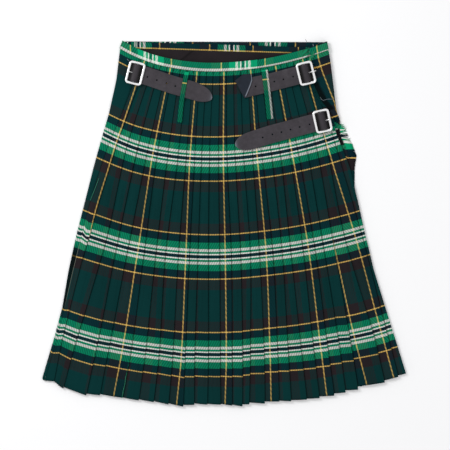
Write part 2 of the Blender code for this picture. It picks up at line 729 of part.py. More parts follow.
def build_strap(strap):
    length = path_length(strap)
    grid = [strap_line(strap, s, STRAP_HALF_WIDTH, z) for s, z in lifts(strap)]
    if strap.name == "right":
        grid += folded_tip(strap)
    else:
        far = TAB_END + 26.0
        while far < length - TIP_LENGTH - 2.0:
            grid.append(strap_line(strap, far, STRAP_HALF_WIDTH, STRAP_ON_CLOTH))
            far += STRAP_STEP
        for k in range(6):
            angle = pi / 2 * k / 5.4
            half_width = STRAP_HALF_WIDTH * cos(angle) ** TIP_FULLNESS
            along = length - TIP_LENGTH * (1 - sin(angle))
            grid.append(strap_line(strap, along, half_width, STRAP_ON_CLOTH))
    obj = sheet("strap_" + strap.name, grid, LEATHER, STRAP_LEATHER)
    slot = Vector(strap.centre) - strap_axis(strap)[0] * 5.4
    cut(obj, (*slot, bulge_z(strap) - 4.0), (9.2, PRONG + SLOT_PLAY, 14.0), strap.turn)
    soften(obj, 0.45)


def folded_tip(strap):
    """The right strap's tip, folded over its own end along a slanting line."""
    fold_a = Vector(FOLD_LINE[0])
    fold_b = Vector(FOLD_LINE[1])
    outward = Vector(((fold_b - fold_a).y, (fold_a - fold_b).x)).normalized()
    radius = (LEATHER + GAP) / 2
    low = STRAP_ON_CLOTH
    lines = [strap_line(strap, TAB_END + s, STRAP_HALF_WIDTH, low) for s in (26.0, 46.0)]
    for k in range(5):
        angle = -pi / 2 + pi * k / 4
        shift = outward * radius * cos(angle)
        z = low + radius + radius * sin(angle)
        lines.append([(*(p + shift), z) for p in (fold_b, (fold_a + fold_b) / 2, fold_a)])
    top = low + 2 * radius
    for a, b in FLAP_LINES:
        lines.append([(*b, top), ((a[0] + b[0]) / 2, (a[1] + b[1]) / 2, top), (*a, top)])
    return lines


def build_tab(strap):
    """A leather strip that lies under the strap and turns round the centre bar."""
    radius = CENTRE_BAR / 2 + GAP + TAB / 2
    centre_z = bar_z(strap)
    low = tab_z(strap)
    profile = [(TAB_END, low), (18.0, low), (8.0, low), (4.2, low + 0.9)]
    for k in range(9):
        angle = radians(-62) - radians(215) * k / 8
        profile.append((radius * cos(angle), centre_z + radius * sin(angle)))
    along, across = strap_axis(strap)
    centre = Vector(strap.centre)
    grid = []
    for s, z in profile:
        spot = centre + along * s
        grid.append([(*(spot + across * w), z) for w in (TAB_HALF_WIDTH, -TAB_HALF_WIDTH)])
    obj = sheet("tab_" + strap.name, grid, TAB, STRAP_LEATHER)
    slot = centre - along * 2.0
    cut(obj, (*slot, centre_z), (7.0, PRONG + SLOT_PLAY, 6.6), strap.turn)


def rounded_rectangle(length, width, radius):
    points = []
    for corner, (sx, sy) in enumerate(((1, 1), (-1, 1), (-1, -1), (1, -1))):
        for k in range(5):
            angle = pi / 2 * (corner + k / 4)
            x = sx * (length / 2 - radius) + radius * cos(angle)
            y = sy * (width / 2 - radius) + radius * sin(angle)
            points.append((x, y))
    return points


def tube(name, points, radius, closed, sides_resolution):
    curve = bpy.data.curves.new(name, "CURVE")
    curve.dimensions = "3D"
    curve.bevel_depth = radius * MM
    curve.bevel_resolution = sides_resolution
    curve.use_fill_caps = not closed
    spline = curve.splines.new("POLY")
    spline.points.add(len(points) - 1)
    spline.use_cyclic_u = closed
    for spot, point in zip(spline.points, points):
        spot.co = (*(Vector(point) * MM), 1.0)
    holder = bpy.data.objects.new(name, curve)
    cutters.objects.link(holder)
    bpy.context.view_layer.update()
    depsgraph = bpy.context.evaluated_depsgraph_get()
    mesh = bpy.data.meshes.new_from_object(holder.evaluated_get(depsgraph))
    bpy.data.objects.remove(holder)
    bm = bmesh.new()
    bm.from_mesh(mesh)
    bmesh.ops.remove_doubles(bm, verts=bm.verts, dist=1e-6)
    bmesh.ops.recalc_face_normals(bm, faces=bm.faces)
    bm.to_mesh(mesh)
    bm.free()
    return mesh


def build_buckle(strap):
    name = "buckle_" + strap.name
    outline = rounded_rectangle(BUCKLE_LENGTH - BUCKLE_WIRE, BUCKLE_WIDTH - BUCKLE_WIRE, BUCKLE_CORNER)
    turned = Matrix.Rotation(strap.turn, 3, "Z")
    centre = Vector((*strap.centre, 0.0))
    ring = [centre + turned @ Vector((x, y, frame_z(strap))) for x, y in outline]
    frame = add_object(name, tube(name, ring, BUCKLE_WIRE / 2, True, 1), BUCKLE_METAL)
    reach = (BUCKLE_WIDTH - BUCKLE_WIRE) / 2 - BAR_SHORT
    ends = [centre + turned @ Vector((0.0, w, bar_z(strap))) for w in (-reach, reach)]
    bar = bpy.data.objects.new(name + "_bar", tube(name + "_bar", ends, CENTRE_BAR / 2, False, 1))
    cutters.objects.link(bar)
    bar.hide_render = True
    bar.display_type = "WIRE"
    join = frame.modifiers.new("bar", "BOOLEAN")
    join.object = bar
    join.operation = "UNION"


def build_prong(strap):
    """Pivots beside the centre bar and rests on the frame's outer bar."""
    along, _ = strap_axis(strap)
    centre = Vector(strap.centre)
    bar = bar_z(strap)
    rest = frame_z(strap) + BUCKLE_WIRE / 2 + GAP + PRONG / 2
    start = -(CENTRE_BAR / 2 + GAP + PRONG / 2)
    route = ((start, bar), (-6.0, bar + 2.4), (-9.2, rest - 0.2), (-11.5, rest), (-14.4, rest - 0.1))
    points = [(*(centre + along * s), z) for s, z in route]
    name = "prong_" + strap.name
    add_object(name, tube(name, points, PRONG / 2, False, 1), BUCKLE_METAL)


#   strap_from, strap_to   stretch of the loop, from its top, that lies over a strap
Loop = namedtuple("Loop", "name top bottom strap_from strap_to")
LOOPS = (
    Loop("left", (-66.5, 268.5), (-79.5, 179.5), 8.5, 48.0),
    Loop("right", (71.0, 272.0), (81.0, 185.5), 6.0, 43.5),
)


def build_loop(loop):
    """A belt loop: flat on the cloth at both ends and over the strap between."""
    top = Vector(loop.top)
    bottom = Vector(loop.bottom)
    length = (top - bottom).length
    down = (bottom - top).normalized()
    across = Vector((-down.y, down.x)) * LOOP_HALF_WIDTH
    low = PLEAT_TOP + GAP + HALF
    over = STRAP_ON_CLOTH + LEATHER / 2 + GAP + HALF
    stations = ((0.0, low), (loop.strap_from - 4.6, low), (loop.strap_from - 0.6, over),
                (loop.strap_to + 0.6, over), (loop.strap_to + 5.6, low), (length * 0.8, low), (length, low))
    grid = []
    for s, z in stations:
        spot = top + down * s
        grid.append([(*(spot - across), z), (*spot, z), (*(spot + across), z)])
    sheet("belt_loop_" + loop.name, grid, CLOTH, CLOTH_BRIGHT)


# Build
for old in list(bpy.data.objects):
    bpy.data.objects.remove(old)
parts = bpy.data.collections.new("kilt")
cutters = bpy.data.collections.new("cutters")
bpy.context.scene.collection.children.link(parts)
bpy.context.scene.collection.children.link(cutters)

CLOTH_GREEN = material("tartan_green", (0.006, 0.045, 0.038), 0.85)
CLOTH_BRIGHT = material("tartan_bright_green", (0.010, 0.240, 0.120), 0.85)
CLOTH_NAVY = material("tartan_navy", (0.004, 0.022, 0.036), 0.85)
CLOTH_BLACK = material("lining_black", (0.016, 0.011, 0.012), 0.90)
STRAP_LEATHER = material("strap_leather", (0.065, 0.058, 0.068), 0.55)
BUCKLE_METAL = material("buckle_metal", (0.90, 0.90, 0.90), 0.18, 1.0)

build_over_apron()
build_under_apron()
build_pleated_back()
build_inside()
build_waistband()
build_apron_facing()
build_fringe()
for strap in STRAPS:
    build_tab(strap)
    build_strap(strap)
    build_buckle(strap)
    build_prong(strap)
for loop in LOOPS:
    build_loop(loop)

# The frame's origin is under the middle of the whole kilt
for obj in list(parts.objects) + list(cutters.objects):
    obj.data.transform(Matrix.Translation((-CENTRE_X * MM, -CENTRE_Y * MM, 0.0)))
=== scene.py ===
"""Looks of the kilt: its tartan cloth, leather straps, buckles, fringe and sewing.

The kilt lies flat with its pleated back up. Sizes are in millimetres until a
mesh is made. +Y points to the waist and +X to the right of the back. A weft
line of the cloth is named by its height y on the kilt's middle line.
"""
from collections import namedtuple
from math import ceil, cos, pi, radians, sin

import bmesh
import bpy
from mathutils import Matrix, Vector


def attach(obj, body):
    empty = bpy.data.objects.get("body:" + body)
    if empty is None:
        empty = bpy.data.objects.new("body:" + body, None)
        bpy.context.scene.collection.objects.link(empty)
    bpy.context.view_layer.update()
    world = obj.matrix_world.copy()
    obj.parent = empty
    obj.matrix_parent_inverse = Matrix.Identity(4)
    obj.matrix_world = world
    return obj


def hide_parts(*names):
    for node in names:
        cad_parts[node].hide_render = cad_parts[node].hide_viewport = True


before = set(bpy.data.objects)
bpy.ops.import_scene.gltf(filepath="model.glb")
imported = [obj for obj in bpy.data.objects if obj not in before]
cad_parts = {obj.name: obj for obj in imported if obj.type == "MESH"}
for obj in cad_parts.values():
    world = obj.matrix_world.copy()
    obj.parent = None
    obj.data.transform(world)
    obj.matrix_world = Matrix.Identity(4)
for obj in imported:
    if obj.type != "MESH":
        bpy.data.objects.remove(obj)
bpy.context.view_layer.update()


def table(fields, *rows):
    """Rows with named columns."""
    entry = namedtuple("Entry", fields)
    return [entry(*row) for row in rows]


MM = 0.001
MIDDLE = Vector((0.03, 0.62, 0))  # of the whole kilt, in the numbers below
BODY = "root"

PIXEL = 1.763               # millimetres of the kilt to one pixel of the photograph
PHOTO_MIDDLE = (224.15, 224.3)  # pixel that the kilt's numbers are measured from

# Cloth and leather
CLOTH = 0.8                 # thickness that the eye sees at an edge
LAYER = 1.3                 # from one layer of cloth to the next
LEATHER = 2.2
GAP = 0.3
PLEAT_TOP = 6.2             # top of the pleats under the straps

# Middle line of the fan that the back spreads into, and the named weft lines
FAN_MIDDLE = -21.5
WAIST_Y = 284
FELL_Y = 115
HIP_Y = -57
KNEE_Y = -229
HEM_Y = -320.5
STATIONS = (WAIST_Y, FELL_Y, HIP_Y, KNEE_Y, HEM_Y)

# Each row is a weft line: rise of the line 100 mm from the fan's middle on either
# side, sides of the kilt, seam of the flap at the left, height of the pleats' base
ROWS = table(
    "y left_lift right_lift left seam right base",
    (284, 13.4, 9.2, -178.5, -141.5, 172.5, 4.4),
    (270, 13.3, 9, -183.7, -145.7, 175.2, 4.4),
    (219, 13, 8.4, -190, -161, 185, 4.4),
    (153.5, 11.3, 7.9, -204, -184.5, 193, 4.4),
    (124, 11.6, 7.9, -211.5, -195, 197, 4.2),
    (97, 10.8, 7.4, -219, -205.5, 207, 3.7),
    (60, 9.1, 6.5, -230, -218.5, 222, 3.1),
    (0, 8.1, 6.2, -245, -236.5, 236, 3.1),
    (-57, 7.1, 5.8, -259.5, -251, 248.5, 3.1),
    (-124, 6.2, 5.6, -274.5, -268, 264, 3.1),
    (-189, 5.6, 5.4, -286, -283, 283.5, 3.1),
    (-254, 5.2, 5.1, -302.5, -298, 302, 3.1),
    (-320.5, 5.3, 4.9, -321, -316.5, 321, 3.1),
)

# How far a weft line lies above the smooth fan, at six places across the back
SWAY = table(
    "y edge left middle right far rim",
    (284, 0, 0, 0, 0, 0, 0),
    (215, 0, 0, 0, 0, 0, 0),
    (154.7, 3.6, -2, -1, 0, 0, 0),
    (75.2, 2.5, -1.6, 1, 1.9, 2.4, 2.4),
    (-17, 1.6, -1.9, -1.5, 0, 0, -0.3),
    (-97, 2.6, 0, 0, 1.3, 0.4, -0.3),
    (-189, 0.3, -2, -2.6, -0.3, -0.8, -4.2),
    (-268.7, 2.4, -0.3, -1.4, 1.8, 0.4, -0.9),
    (-320.5, 0, 0, 0, 0, 0, 0),
)
SWAY_AT = (("edge", -240), ("left", -150), ("middle", -20), ("right", 80), ("far", 190), ("rim", 228))

# Height of a pleat's fold above the base, and share of its width turned under
PRESS = table(
    "y stack tuck",
    (284, 1.3, 0),
    (124, 1.3, 0),
    (97, 2.6, 0.06),
    (60, 2.6, 0.30),
    (0, 2.6, 0.46),
    (-320.5, 2.6, 0.52),
)

# The knife pleats: x of the folded edge at the five named weft lines, height of
# the fold's corner at the hem, step to the next pleat, and the place in the
# tartan's half repeat at the fold (mm) with the way that it runs to the right.
PLEATS = table(
    "name waist fell hip knee hem hem_y step sett way",
    ("a1", -130, -188, -239, -282.5, -300, -277, 0, 0, -1),
    ("a2", -118.5, -171.5, -209.5, -259.5, -284, -289.5, 2.8, 51, -1),
    ("a3", -108, -153.5, -189.5, -223.5, -243.5, -301.5, 2.8, 55, -1),
    ("a4", -97, -136, -170, -202.5, -219.5, -301.5, 2.1, 61, -1),
    ("b1", -86.5, -118.5, -141.5, -164, -179.5, -306, 0.5, 0, -1),
    ("b2", -75.5, -100, -121, -139, -151, -310.5, 1.8, 80, 1),
    ("b3", -64.5, -82, -104, -115, -124.5, -313.5, 1.8, 68, 1),
    ("b4", -53, -67.5, -81.5, -91, -98.5, -317.5, 1.8, 76, 1),
    ("c1", -42, -52.5, -62, -69, -72.5, -321.5, 2.8, 0, -1),
    ("c2", -30.5, -40.5, -47, -52.5, -53, -318.5, 2.6, 80, 1),
    ("c3", -19, -26.5, -28.5, -28.5, -30, -318, 1.1, 76, 1),
    ("c4", -7.5, -10.5, -8.5, -7.5, -6.5, -318, 1.4, 84, 1),
    ("d1", 4, 4.5, 12, 13.5, 14, -319.5, 1.4, 0, -1),
    ("d2", 16, 19, 28.5, 32, 32, -321, 3.5, 73, 1),
    ("d3", 28, 34, 45.5, 45.5, 44, -317.5, 3.3, 66, 1),
    ("d4", 39.5, 49.5, 61.5, 70, 71.5, -316, 3.5, 75, 1),
    ("e1", 51, 66, 85, 93.5, 97, -312.5, 1.4, 0, -1),
    ("e2", 62, 82.5, 101.5, 112, 118, -312, 1.8, 72, 1),
    ("e3", 73.5, 98, 116.5, 135, 145.5, -309, 1.4, 69, 1),
    ("e4", 84.5, 114, 138, 156.5, 168, -306.5, 2.8, 70, 1),
    ("f1", 95.5, 128.5, 158.5, 181, 194, -302, 3.5, 0, -1),
    ("f2", 106, 144, 173.5, 201, 214, -296.5, 3.7, 70, 1),
    ("f3", 117, 160.5, 191.5, 221.5, 236, -291.5, 5.5, 78, 1),
    ("f4", 128, 177, 212.5, 262, 283, -279, 3.5, 0, 1),
    ("g1", 139, 192, 241.5, 284.5, 307, -269, 2.3, 0, -1),
)

# x of the yellow line on the pleats that show one, at the same weft lines
YELLOW_LINES = table(
    "name waist fell hip knee hem",
    ("a1", -135, -189, -237.8, -262, -270),
    ("b1", -91.2, -125.2, -151.8, -178.4, -194.8),
    ("c1", -46.2, -60, -67.5, -75.1, -83.8),
    ("d1", 0, -1.1, 2.1, 4, 1.8),
    ("e1", 45.7, 58.5, 74.2, 81, 83),
    ("f1", 87.9, 119.1, 148.4, 169.7, 181.2),
    ("f4", 111.3, 149.9, 191.8, 229.4, 251.6),
    ("g1", 134.1, 179.7, 231, 276, 299.4),
)
LEFT_CORNER_DROP = -1.5
CORNER_LIFT = 6.4           # the waist's left corner is drawn up a little
CORNER_X = -112
CORNER_FROM_Y = 205
DROOP_POWER = 4             # the hem's steps between pleats fade quickly above it
SOFT_DROOP = 0.375          # but not so quickly at the first pleat
SOFT_PLEAT = "a1"
SOFT_FROM_Y = -100
SOFT_STACK = 0.7
SOFT_TUCK = 0.9

# The over-apron's right end: its outermost x when rolled, its edge's x when flat,
# length that laps on, share of the half turn, and height that it turns up to
WRAP = table(
    "y out edge lap curl top",
    (284, 180.5, 190, 27, 1, 8.3),
    (268, 184, 190, 27.5, 1, 8.3),
    (262, 185.5, 190, 28, 1, 7),
    (250, 187.5, 190, 28.5, 1, 7),
    (219, 191.5, 192, 30, 1, 7),
    (184, 195.5, 195, 18.5, 1, 7),
    (168, 197.5, 197, 9.5, 1, 7),
    (157, 199.5, 203, 5, 1, 7),
    (151, 201.8, 203, 1.2, 1, 7),
    (146, 203.5, 205, 1, 1, 3.5),
    (140, 205, 205.5, 1, 1, 2.5),
    (136, 205, 205, 1, 0.5, 2.5),
    (131, 205, 204, 1, 0, 2.5),
    (115, 206, 206, 1, 0, 2.5),
    (97, 213.5, 213.5, 1, 0, 2.5),
    (78, 220, 220, 1, 0, 2.5),
    (20, 218.5, 218.5, 1, 0, 2.5),
    (-81, 225.5, 225.5, 1, 0, 2.5),
    (-320.5, 243, 243, 1, 0, 2.5),
)
# How far its threads have slipped down at each weft line
LAP_SLIP = table("y weft", (170, 0), (150, 2.6), (139, 6), (133, 5), (122, 0))
# x of the yellow line on the part of the over-apron that laps onto the back
LAP_YELLOW = table(
    "y x",
    (280.5, 162.8),
    (263, 165.5),
    (246, 169.9),
    (235, 173.4),
    (218, 179.6),
    (193, 188.4),
    (179.4, 193.7),
    (159, 198.2),
    (153, 207),
)
OVER_Z = 0.5
UNDER_Z = OVER_Z + LAYER
LINING_Z = UNDER_Z + LAYER
APRON_HEM_INSET = 5
APRON_BOW = 9
UNDER_RIGHT_DROP = 7
UNDER_LEFT_INSET = 8
UNDER_TOP_INSET = 0.2
UNDER_WARP = 12
SIDE_TURN = 10
SIDE_INSET = 0.5            # the cloth's middle lies this far inside the outline
FACING_WIDTH = 11.5
LINING_BOTTOM_Y = 168
WRAP_FLATTENS_Y = 160

# The tartan's half repeat, from the middle of the white band: end of each
# stripe (mm), its yarn, and how much the yarn stands out over what it crosses.
HALF_REPEAT = 86
SETT = table(
    "end yarn strength",
    (2.9, "navy", 0.34),
    (5.3, "white", 0.90),
    (8.9, "green", 0.26),
    (13.5, "white", 0.38),
    (25.2, "green", 0.20),
    (38.8, "navy", 0.34),
    (40.7, "yellow", 0.34),
    (58.5, "brown", 0.25),
    (86, "forest", 0.34),
)
YARNS = {
    "navy": (0.0015, 0.015, 0.023),
    "white": (0.76, 0.78, 0.72),
    "green": (0.002, 0.325, 0.145),
    "yellow": (0.76, 0.49, 0.125),
    "brown": (0.0185, 0.0135, 0.0155),
    "forest": (0.0015, 0.030, 0.030),
}
WEFT_LEAD = 1.3             # how much more the weft shows than the warp
YELLOW_AT = 39.75           # of the yellow stripe's middle in the half repeat
TWILL = 4.2                 # pitch of the weave's ribs along the weft
TWILL_STEEP = 0.5           # they climb two threads for each one across
TWILL_LEAN = 0.95           # how far a rib shows more of the one yarn
DYE_SPREAD = 0.42           # how far the dye's depth varies
LEAST_DYE = 0.16
DEEPEST = 0.9               # share of the painted shade, and of the pleats' uneven tone, at its most
# Colour that the painted shade of folds and shadows darkens the cloth towards
FOLD_DARK = (0.001, 0.002, 0.002)
# Colour of the painted highlight along the left seam
SEAM_HIGHLIGHT_COLOUR = (0.22, 0.25, 0.20)
# Pale cut edge of the leather, with a painted highlight
PALE_CUT_EDGE_AND_HIGHLIGHT = (0.27, 0.30, 0.36)


# Tables
def clamp(value):
    return min(max(value, 0), 1)


def fading(distance, reach):
    """1 where there's no distance, and 0 from the reach on."""
    return max(0, 1 - distance / reach)


def between(rows, field, y):
    """Straight interpolation of one column of a table that runs down in y."""
    upper = rows[0]
    for lower in rows[1:]:
        if y >= lower.y:
            share = clamp((upper.y - y) / (upper.y - lower.y))
            first = getattr(upper, field)
            return first + share * (getattr(lower, field) - first)
        upper = lower
    return getattr(upper, field)


def columns(rows, y):
    """Every column of a table at y."""
    return [between(rows, field, y) for field in rows[0]._fields[1:]]


def spread(start, end, count):
    """Places from the start to the end, with a number of equal steps."""
    return [start + (end - start) * k / count for k in range(count + 1)]


def along_side(y, top, top_fade, bottom, bottom_fade):
    """1 on a stretch of the side, fading at its top and bottom."""
    return clamp(min((top - y) / top_fade, (y - bottom) / bottom_fade))


def row_value(field, y):
    return between(ROWS, field, y)


def eased(t):
    return t * t * (3 - 2 * t)


def sway(y, x):
    """How far a weft line lies off the smooth fan at x."""
    first, from_x = SWAY_AT[0]
    value = between(SWAY, first, y)
    for place, at_x in SWAY_AT[1:]:
        share = eased(clamp((x - from_x) / (at_x - from_x)))
        value += share * (between(SWAY, place, y) - value)
        if x < at_x:
            break
        from_x = at_x
    return value


def weft_y(y, x):
    """Height at x of the weft line that crosses the fan's middle at y."""
    side = "left_lift" if x < FAN_MIDDLE else "right_lift"
    near_top = clamp((y - CORNER_FROM_Y) / (WAIST_Y - CORNER_FROM_Y))
    corner = CORNER_LIFT * near_top * max(0, (CORNER_X - x) / (CORNER_X + 182)) ** 2
    return y + corner + sway(y, x) + row_value(side, y) * ((x - FAN_MIDDLE) / 100) ** 2


def station_x(entry, y):
    """x of a pleat's fold or of a yellow line, on a smooth curve."""
    xs = (entry.waist, entry.fell, entry.hip, entry.knee, entry.hem)
    k = 0
    while k < len(STATIONS) - 2 and y < STATIONS[k + 1]:
        k += 1
    span = STATIONS[k + 1] - STATIONS[k]

    def slope(i):
        low = max(i - 1, 0)
        high = min(i + 1, len(STATIONS) - 1)
        return (xs[high] - xs[low]) / (STATIONS[high] - STATIONS[low])

    t = (y - STATIONS[k]) / span
    a = slope(k) * span
    b = slope(k + 1) * span
    rise = xs[k + 1] - xs[k]
    return xs[k] + t * (a + t * (3 * rise - 2 * a - b + t * (a + b - 2 * rise)))


def droop_share(y):
    """How much of the hem's uneven corners a weft line has."""
    if y >= FELL_Y:
        return 0
    return ((FELL_Y - y) / (FELL_Y - HEM_Y)) ** DROOP_POWER


# Meshes
def linked(name, data):
    """A new object in the scene."""
    obj = bpy.data.objects.new(name, data)
    bpy.context.scene.collection.objects.link(obj)
    return obj


def mesh_object(name, bm, finish=None):
    """A new object from a bmesh, which is freed."""
    mesh = bpy.data.meshes.new(name)
    bm.to_mesh(mesh)
    bm.free()
    if finish:
        mesh.materials.append(finish)
    return linked(name, mesh)


def placed(point):
    """A point of the kilt, in the scene's metres."""
    return (Vector(point) - MIDDLE) * MM


def finish_piece(obj, replaced):
    """Tie a finished piece to the frame."""
    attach(obj, BODY)
    if replaced:
        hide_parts(*replaced)


def evaluated(obj):
    """The mesh that an object's modifiers make."""
    depsgraph = bpy.context.evaluated_depsgraph_get()
    return bpy.data.meshes.new_from_object(obj.evaluated_get(depsgraph))


def bake(obj):
    """Apply a piece's modifiers."""
    mesh = evaluated(obj)
    obj.modifiers.clear()
    obj.data = mesh


def woven(name, sections, finish, wall=CLOTH):
    """A piece of cloth whose grid follows a list of sections.

    Each section is a list of points (x, y, z, warp, weft, shade); warp and weft
    are the place in the cloth, in millimetres.
    """
    across = len(sections[0]) - 1
    down = len(sections) - 1
    bm = bmesh.new()
    bmesh.ops.create_grid(bm, x_segments=across, y_segments=down, size=0.5)
    weave = bm.loops.layers.uv.new("weave")
    shade = bm.verts.layers.float.new("shade")
    thread = {}
    for vert in bm.verts:
        i = round((vert.co.x + 0.5) * across)
        j = round((0.5 - vert.co.y) * down)
        x, y, z, warp, weft, dark = sections[j][i]
        vert.co = placed((x, y, z))
        vert[shade] = dark
        thread[vert.index] = (warp * MM, weft * MM)
    for face in bm.faces:
        face.smooth = True
        for loop in face.loops:
            loop[weave].uv = thread[loop.vert.index]
    obj = mesh_object(name, bm, finish)
    thick = obj.modifiers.new("wall", "SOLIDIFY")
    thick.thickness = wall * MM
    thick.offset = 0
    thick.use_rim = True
    return obj


def wire(name, points, radius, closed, finish, taper=None, resolution=3):
    """A round wire through points, as a mesh."""
    curve = bpy.data.curves.new(name, "CURVE")
    curve.dimensions = "3D"
    curve.bevel_depth = radius * MM
    curve.bevel_resolution = resolution
    curve.use_fill_caps = not closed
    spline = curve.splines.new("POLY")
    spline.points.add(len(points) - 1)
    spline.use_cyclic_u = closed
    for k, (spot, point) in enumerate(zip(spline.points, points)):
        spot.co = (*placed(point), 1)
        if taper:
            spot.radius = taper[k]
    holder = linked(name + "_line", curve)
    bpy.context.view_layer.update()
    mesh = evaluated(holder)
    bpy.data.objects.remove(holder)
    bm = bmesh.new()
    bm.from_mesh(mesh)
    bpy.data.meshes.remove(mesh)
    bmesh.ops.remove_doubles(bm, verts=bm.verts, dist=1e-6)
    bmesh.ops.recalc_face_normals(bm, faces=bm.faces)
    for face in bm.faces:
        face.smooth = True
    return mesh_object(name, bm, finish)


def joined(name, objects):
    """One object from several meshes."""
    bm = bmesh.new()
    finish = objects[0].data.materials[0]
    for obj in objects:
        bm.from_mesh(obj.data)
        bpy.data.objects.remove(obj)
    return mesh_object(name, bm, finish)


def cut_away(obj, bm):
    """Cut the shape of a bmesh out of an object."""
    cutter = mesh_object("cutter", bm)
    cut = obj.modifiers.new("cut", "BOOLEAN")
    cut.object = cutter
    cut.operation = "DIFFERENCE"
    bake(obj)
    bpy.data.objects.remove(cutter)


# Materials
class Nodes:
    """Short ways to add and link shader nodes."""

    def __init__(self, name):
        self.material = bpy.data.materials.new(name)
        self.material.use_nodes = True
        self.tree = self.material.node_tree
        self.shader = self.tree.nodes["Principled BSDF"]

    def add(self, kind, **values):
        node = self.tree.nodes.new("ShaderNode" + kind)
        for key, value in values.items():
            setattr(node, key, value)
        return node

    def put(self, value, socket):
        """Give a socket a number, a colour or another node's output."""
        if isinstance(value, (int, float)):
            socket.default_value = value
        elif isinstance(value, tuple):
            socket.default_value = (*value, 1)
        else:
            self.tree.links.new(value, socket)

    def fill(self, node, values):
        """Give several of a node's sockets their values, by name."""
        for name, value in values.items():
            if value is not None:
                self.put(value, node.inputs[name])

    def math(self, operation, a, b):
        node = self.add("Math", operation=operation)
        self.put(a, node.inputs[0])
        self.put(b, node.inputs[1])
        return node.outputs[0]

    def times(self, a, b):
        return self.math("MULTIPLY", a, b)

    def total(self, first, *others):
        for other in others:
            first = self.math("ADD", first, other)
        return first

    def mix(self, share, first, second, blend="MIX"):
        node = self.add("Mix", data_type="RGBA", blend_type=blend)
        for place, value in ((0, share), (6, first), (7, second)):
            self.put(value, node.inputs[place])
        return node.outputs[2]

    def ramp(self, value, stops, interpolation="CONSTANT"):
        node = self.add("ValToRGB")
        node.color_ramp.interpolation = interpolation
        marks = node.color_ramp.elements
        while len(marks) < len(stops):
            marks.new(1)
        for mark, (place, colour) in zip(marks, stops):
            mark.position = place
            mark.color = (*colour, 1)
        self.put(value, node.inputs[0])
        return node.outputs[0]

    def tones(self, value, colour, low, high):
        """A colour that goes from darker to lighter; low and high are (place, times)."""
        stops = [(place, tuple(c * times for c in colour)) for place, times in (low, high)]
        return self.ramp(value, stops, "LINEAR")

    def noise(self, vector, scale, detail=2, roughness=0.5, stretch=None):
        if stretch:
            mapping = self.add("Mapping")
            self.put(vector, mapping.inputs[0])
            mapping.inputs["Scale"].default_value = (*stretch, 1)
            vector = mapping.outputs[0]
        node = self.add("TexNoise")
        self.fill(node, {"Vector": vector, "Scale": scale, "Detail": detail, "Roughness": roughness})
        return node.outputs["Fac"]

    def bump(self, height, strength, distance, under=None):
        node = self.add("Bump")
        self.fill(node, {"Strength": strength, "Distance": distance, "Height": height, "Normal": under})
        return node.outputs["Normal"]

    def shade(self):
        """The piece's shade, parted into its dark side and its pale side."""
        shade = self.add("Attribute", attribute_name="shade").outputs["Fac"]
        return self.math("MAXIMUM", shade, 0), self.math("MAXIMUM", self.times(shade, -1), 0)

    def surface(self, colour, rough, specular, normal=None):
        """Set the shader's main values, and give back the material."""
        self.fill(self.shader, {"Base Color": colour, "Roughness": rough, "Specular IOR Level": specular,
                                "Normal": normal})
        return self.material


def sett_stops():
    """Where each stripe starts in the half repeat, with its yarn and strength."""
    start = 0
    colours = []
    strengths = []
    for stripe in SETT:
        colours.append((start / HALF_REPEAT, YARNS[stripe.yarn]))
        strengths.append((start / HALF_REPEAT, (stripe.strength,) * 3))
        start = stripe.end
    return colours, strengths


def tartan(name, warp_shown=True):
    """Twill tartan that follows the threads of the cloth."""
    n = Nodes(name)
    weave = n.add("UVMap", uv_map="weave").outputs[0]
    parted = n.add("SeparateXYZ")
    n.put(weave, parted.inputs[0])
    warp = n.times(parted.outputs[0], 1000)
    weft = n.times(parted.outputs[1], 1000)
    colours, strengths = sett_stops()

    # Threads aren't laid quite evenly
    drift = n.times(n.math("SUBTRACT", n.noise(weave, 90), 0.5), 0.5)

    def threads(place):
        folded = n.math("PINGPONG", n.total(place, drift), HALF_REPEAT)
        share = n.math("DIVIDE", folded, HALF_REPEAT)
        return n.ramp(share, colours), n.ramp(share, strengths)

    warp_colour, warp_strength = threads(warp)
    weft_colour, weft_strength = threads(n.math("SUBTRACT", weft, FELL_Y))
    weft_strength = n.times(weft_strength, WEFT_LEAD)
    share = n.math("DIVIDE", weft_strength, n.total(warp_strength, weft_strength))
    climb = n.times(weft, TWILL_STEEP)
    diagonal = n.math("DIVIDE", n.math("SUBTRACT", warp, climb), TWILL)
    rib = n.math("PINGPONG", diagonal, 0.5)
    lean = n.times(n.math("SUBTRACT", rib, 0.25), TWILL_LEAN)
    clamped = n.add("Clamp")
    n.put(n.total(share, lean), clamped.inputs[0])
    colour = n.mix(clamped.outputs[0] if warp_shown else 1, warp_colour, weft_colour)

    # Yarns differ a little in depth of dye, along and across the cloth
    ends = n.noise(weave, 1, 1, stretch=(900, 40))
    picks = n.noise(weave, 1, 1, stretch=(40, 900))
    cloud = n.noise(weave, 14, 3)
    streaks = n.noise(weave, 1, stretch=(170, 9))
    depth = n.total(n.times(n.total(ends, picks, cloud, streaks), DYE_SPREAD), LEAST_DYE)
    dye = n.ramp(depth, ((0, (0,) * 3), (1, (1,) * 3)), "LINEAR")
    colour = n.mix(1, colour, dye, "MULTIPLY")

    # Painted shade in the folds and shadows, and a painted highlight at the left seam
    dark, pale = n.shade()
    colour = n.mix(n.times(dark, DEEPEST), colour, FOLD_DARK)
    colour = n.mix(pale, colour, SEAM_HIGHLIGHT_COLOUR)

    fibre = n.noise(weave, 2600, 2, 0.7)
    ribs = n.bump(rib, 0.35, 0.0003)
    n.shader.inputs["Sheen Weight"].default_value = 0.02
    n.shader.inputs["Sheen Roughness"].default_value = 0.4
    n.shader.inputs["Sheen Tint"].default_value = (0.45, 0.70, 0.66, 1)
    return n.surface(colour, 0.92, 0.06, n.bump(fibre, 0.22, 0.0003, ribs))


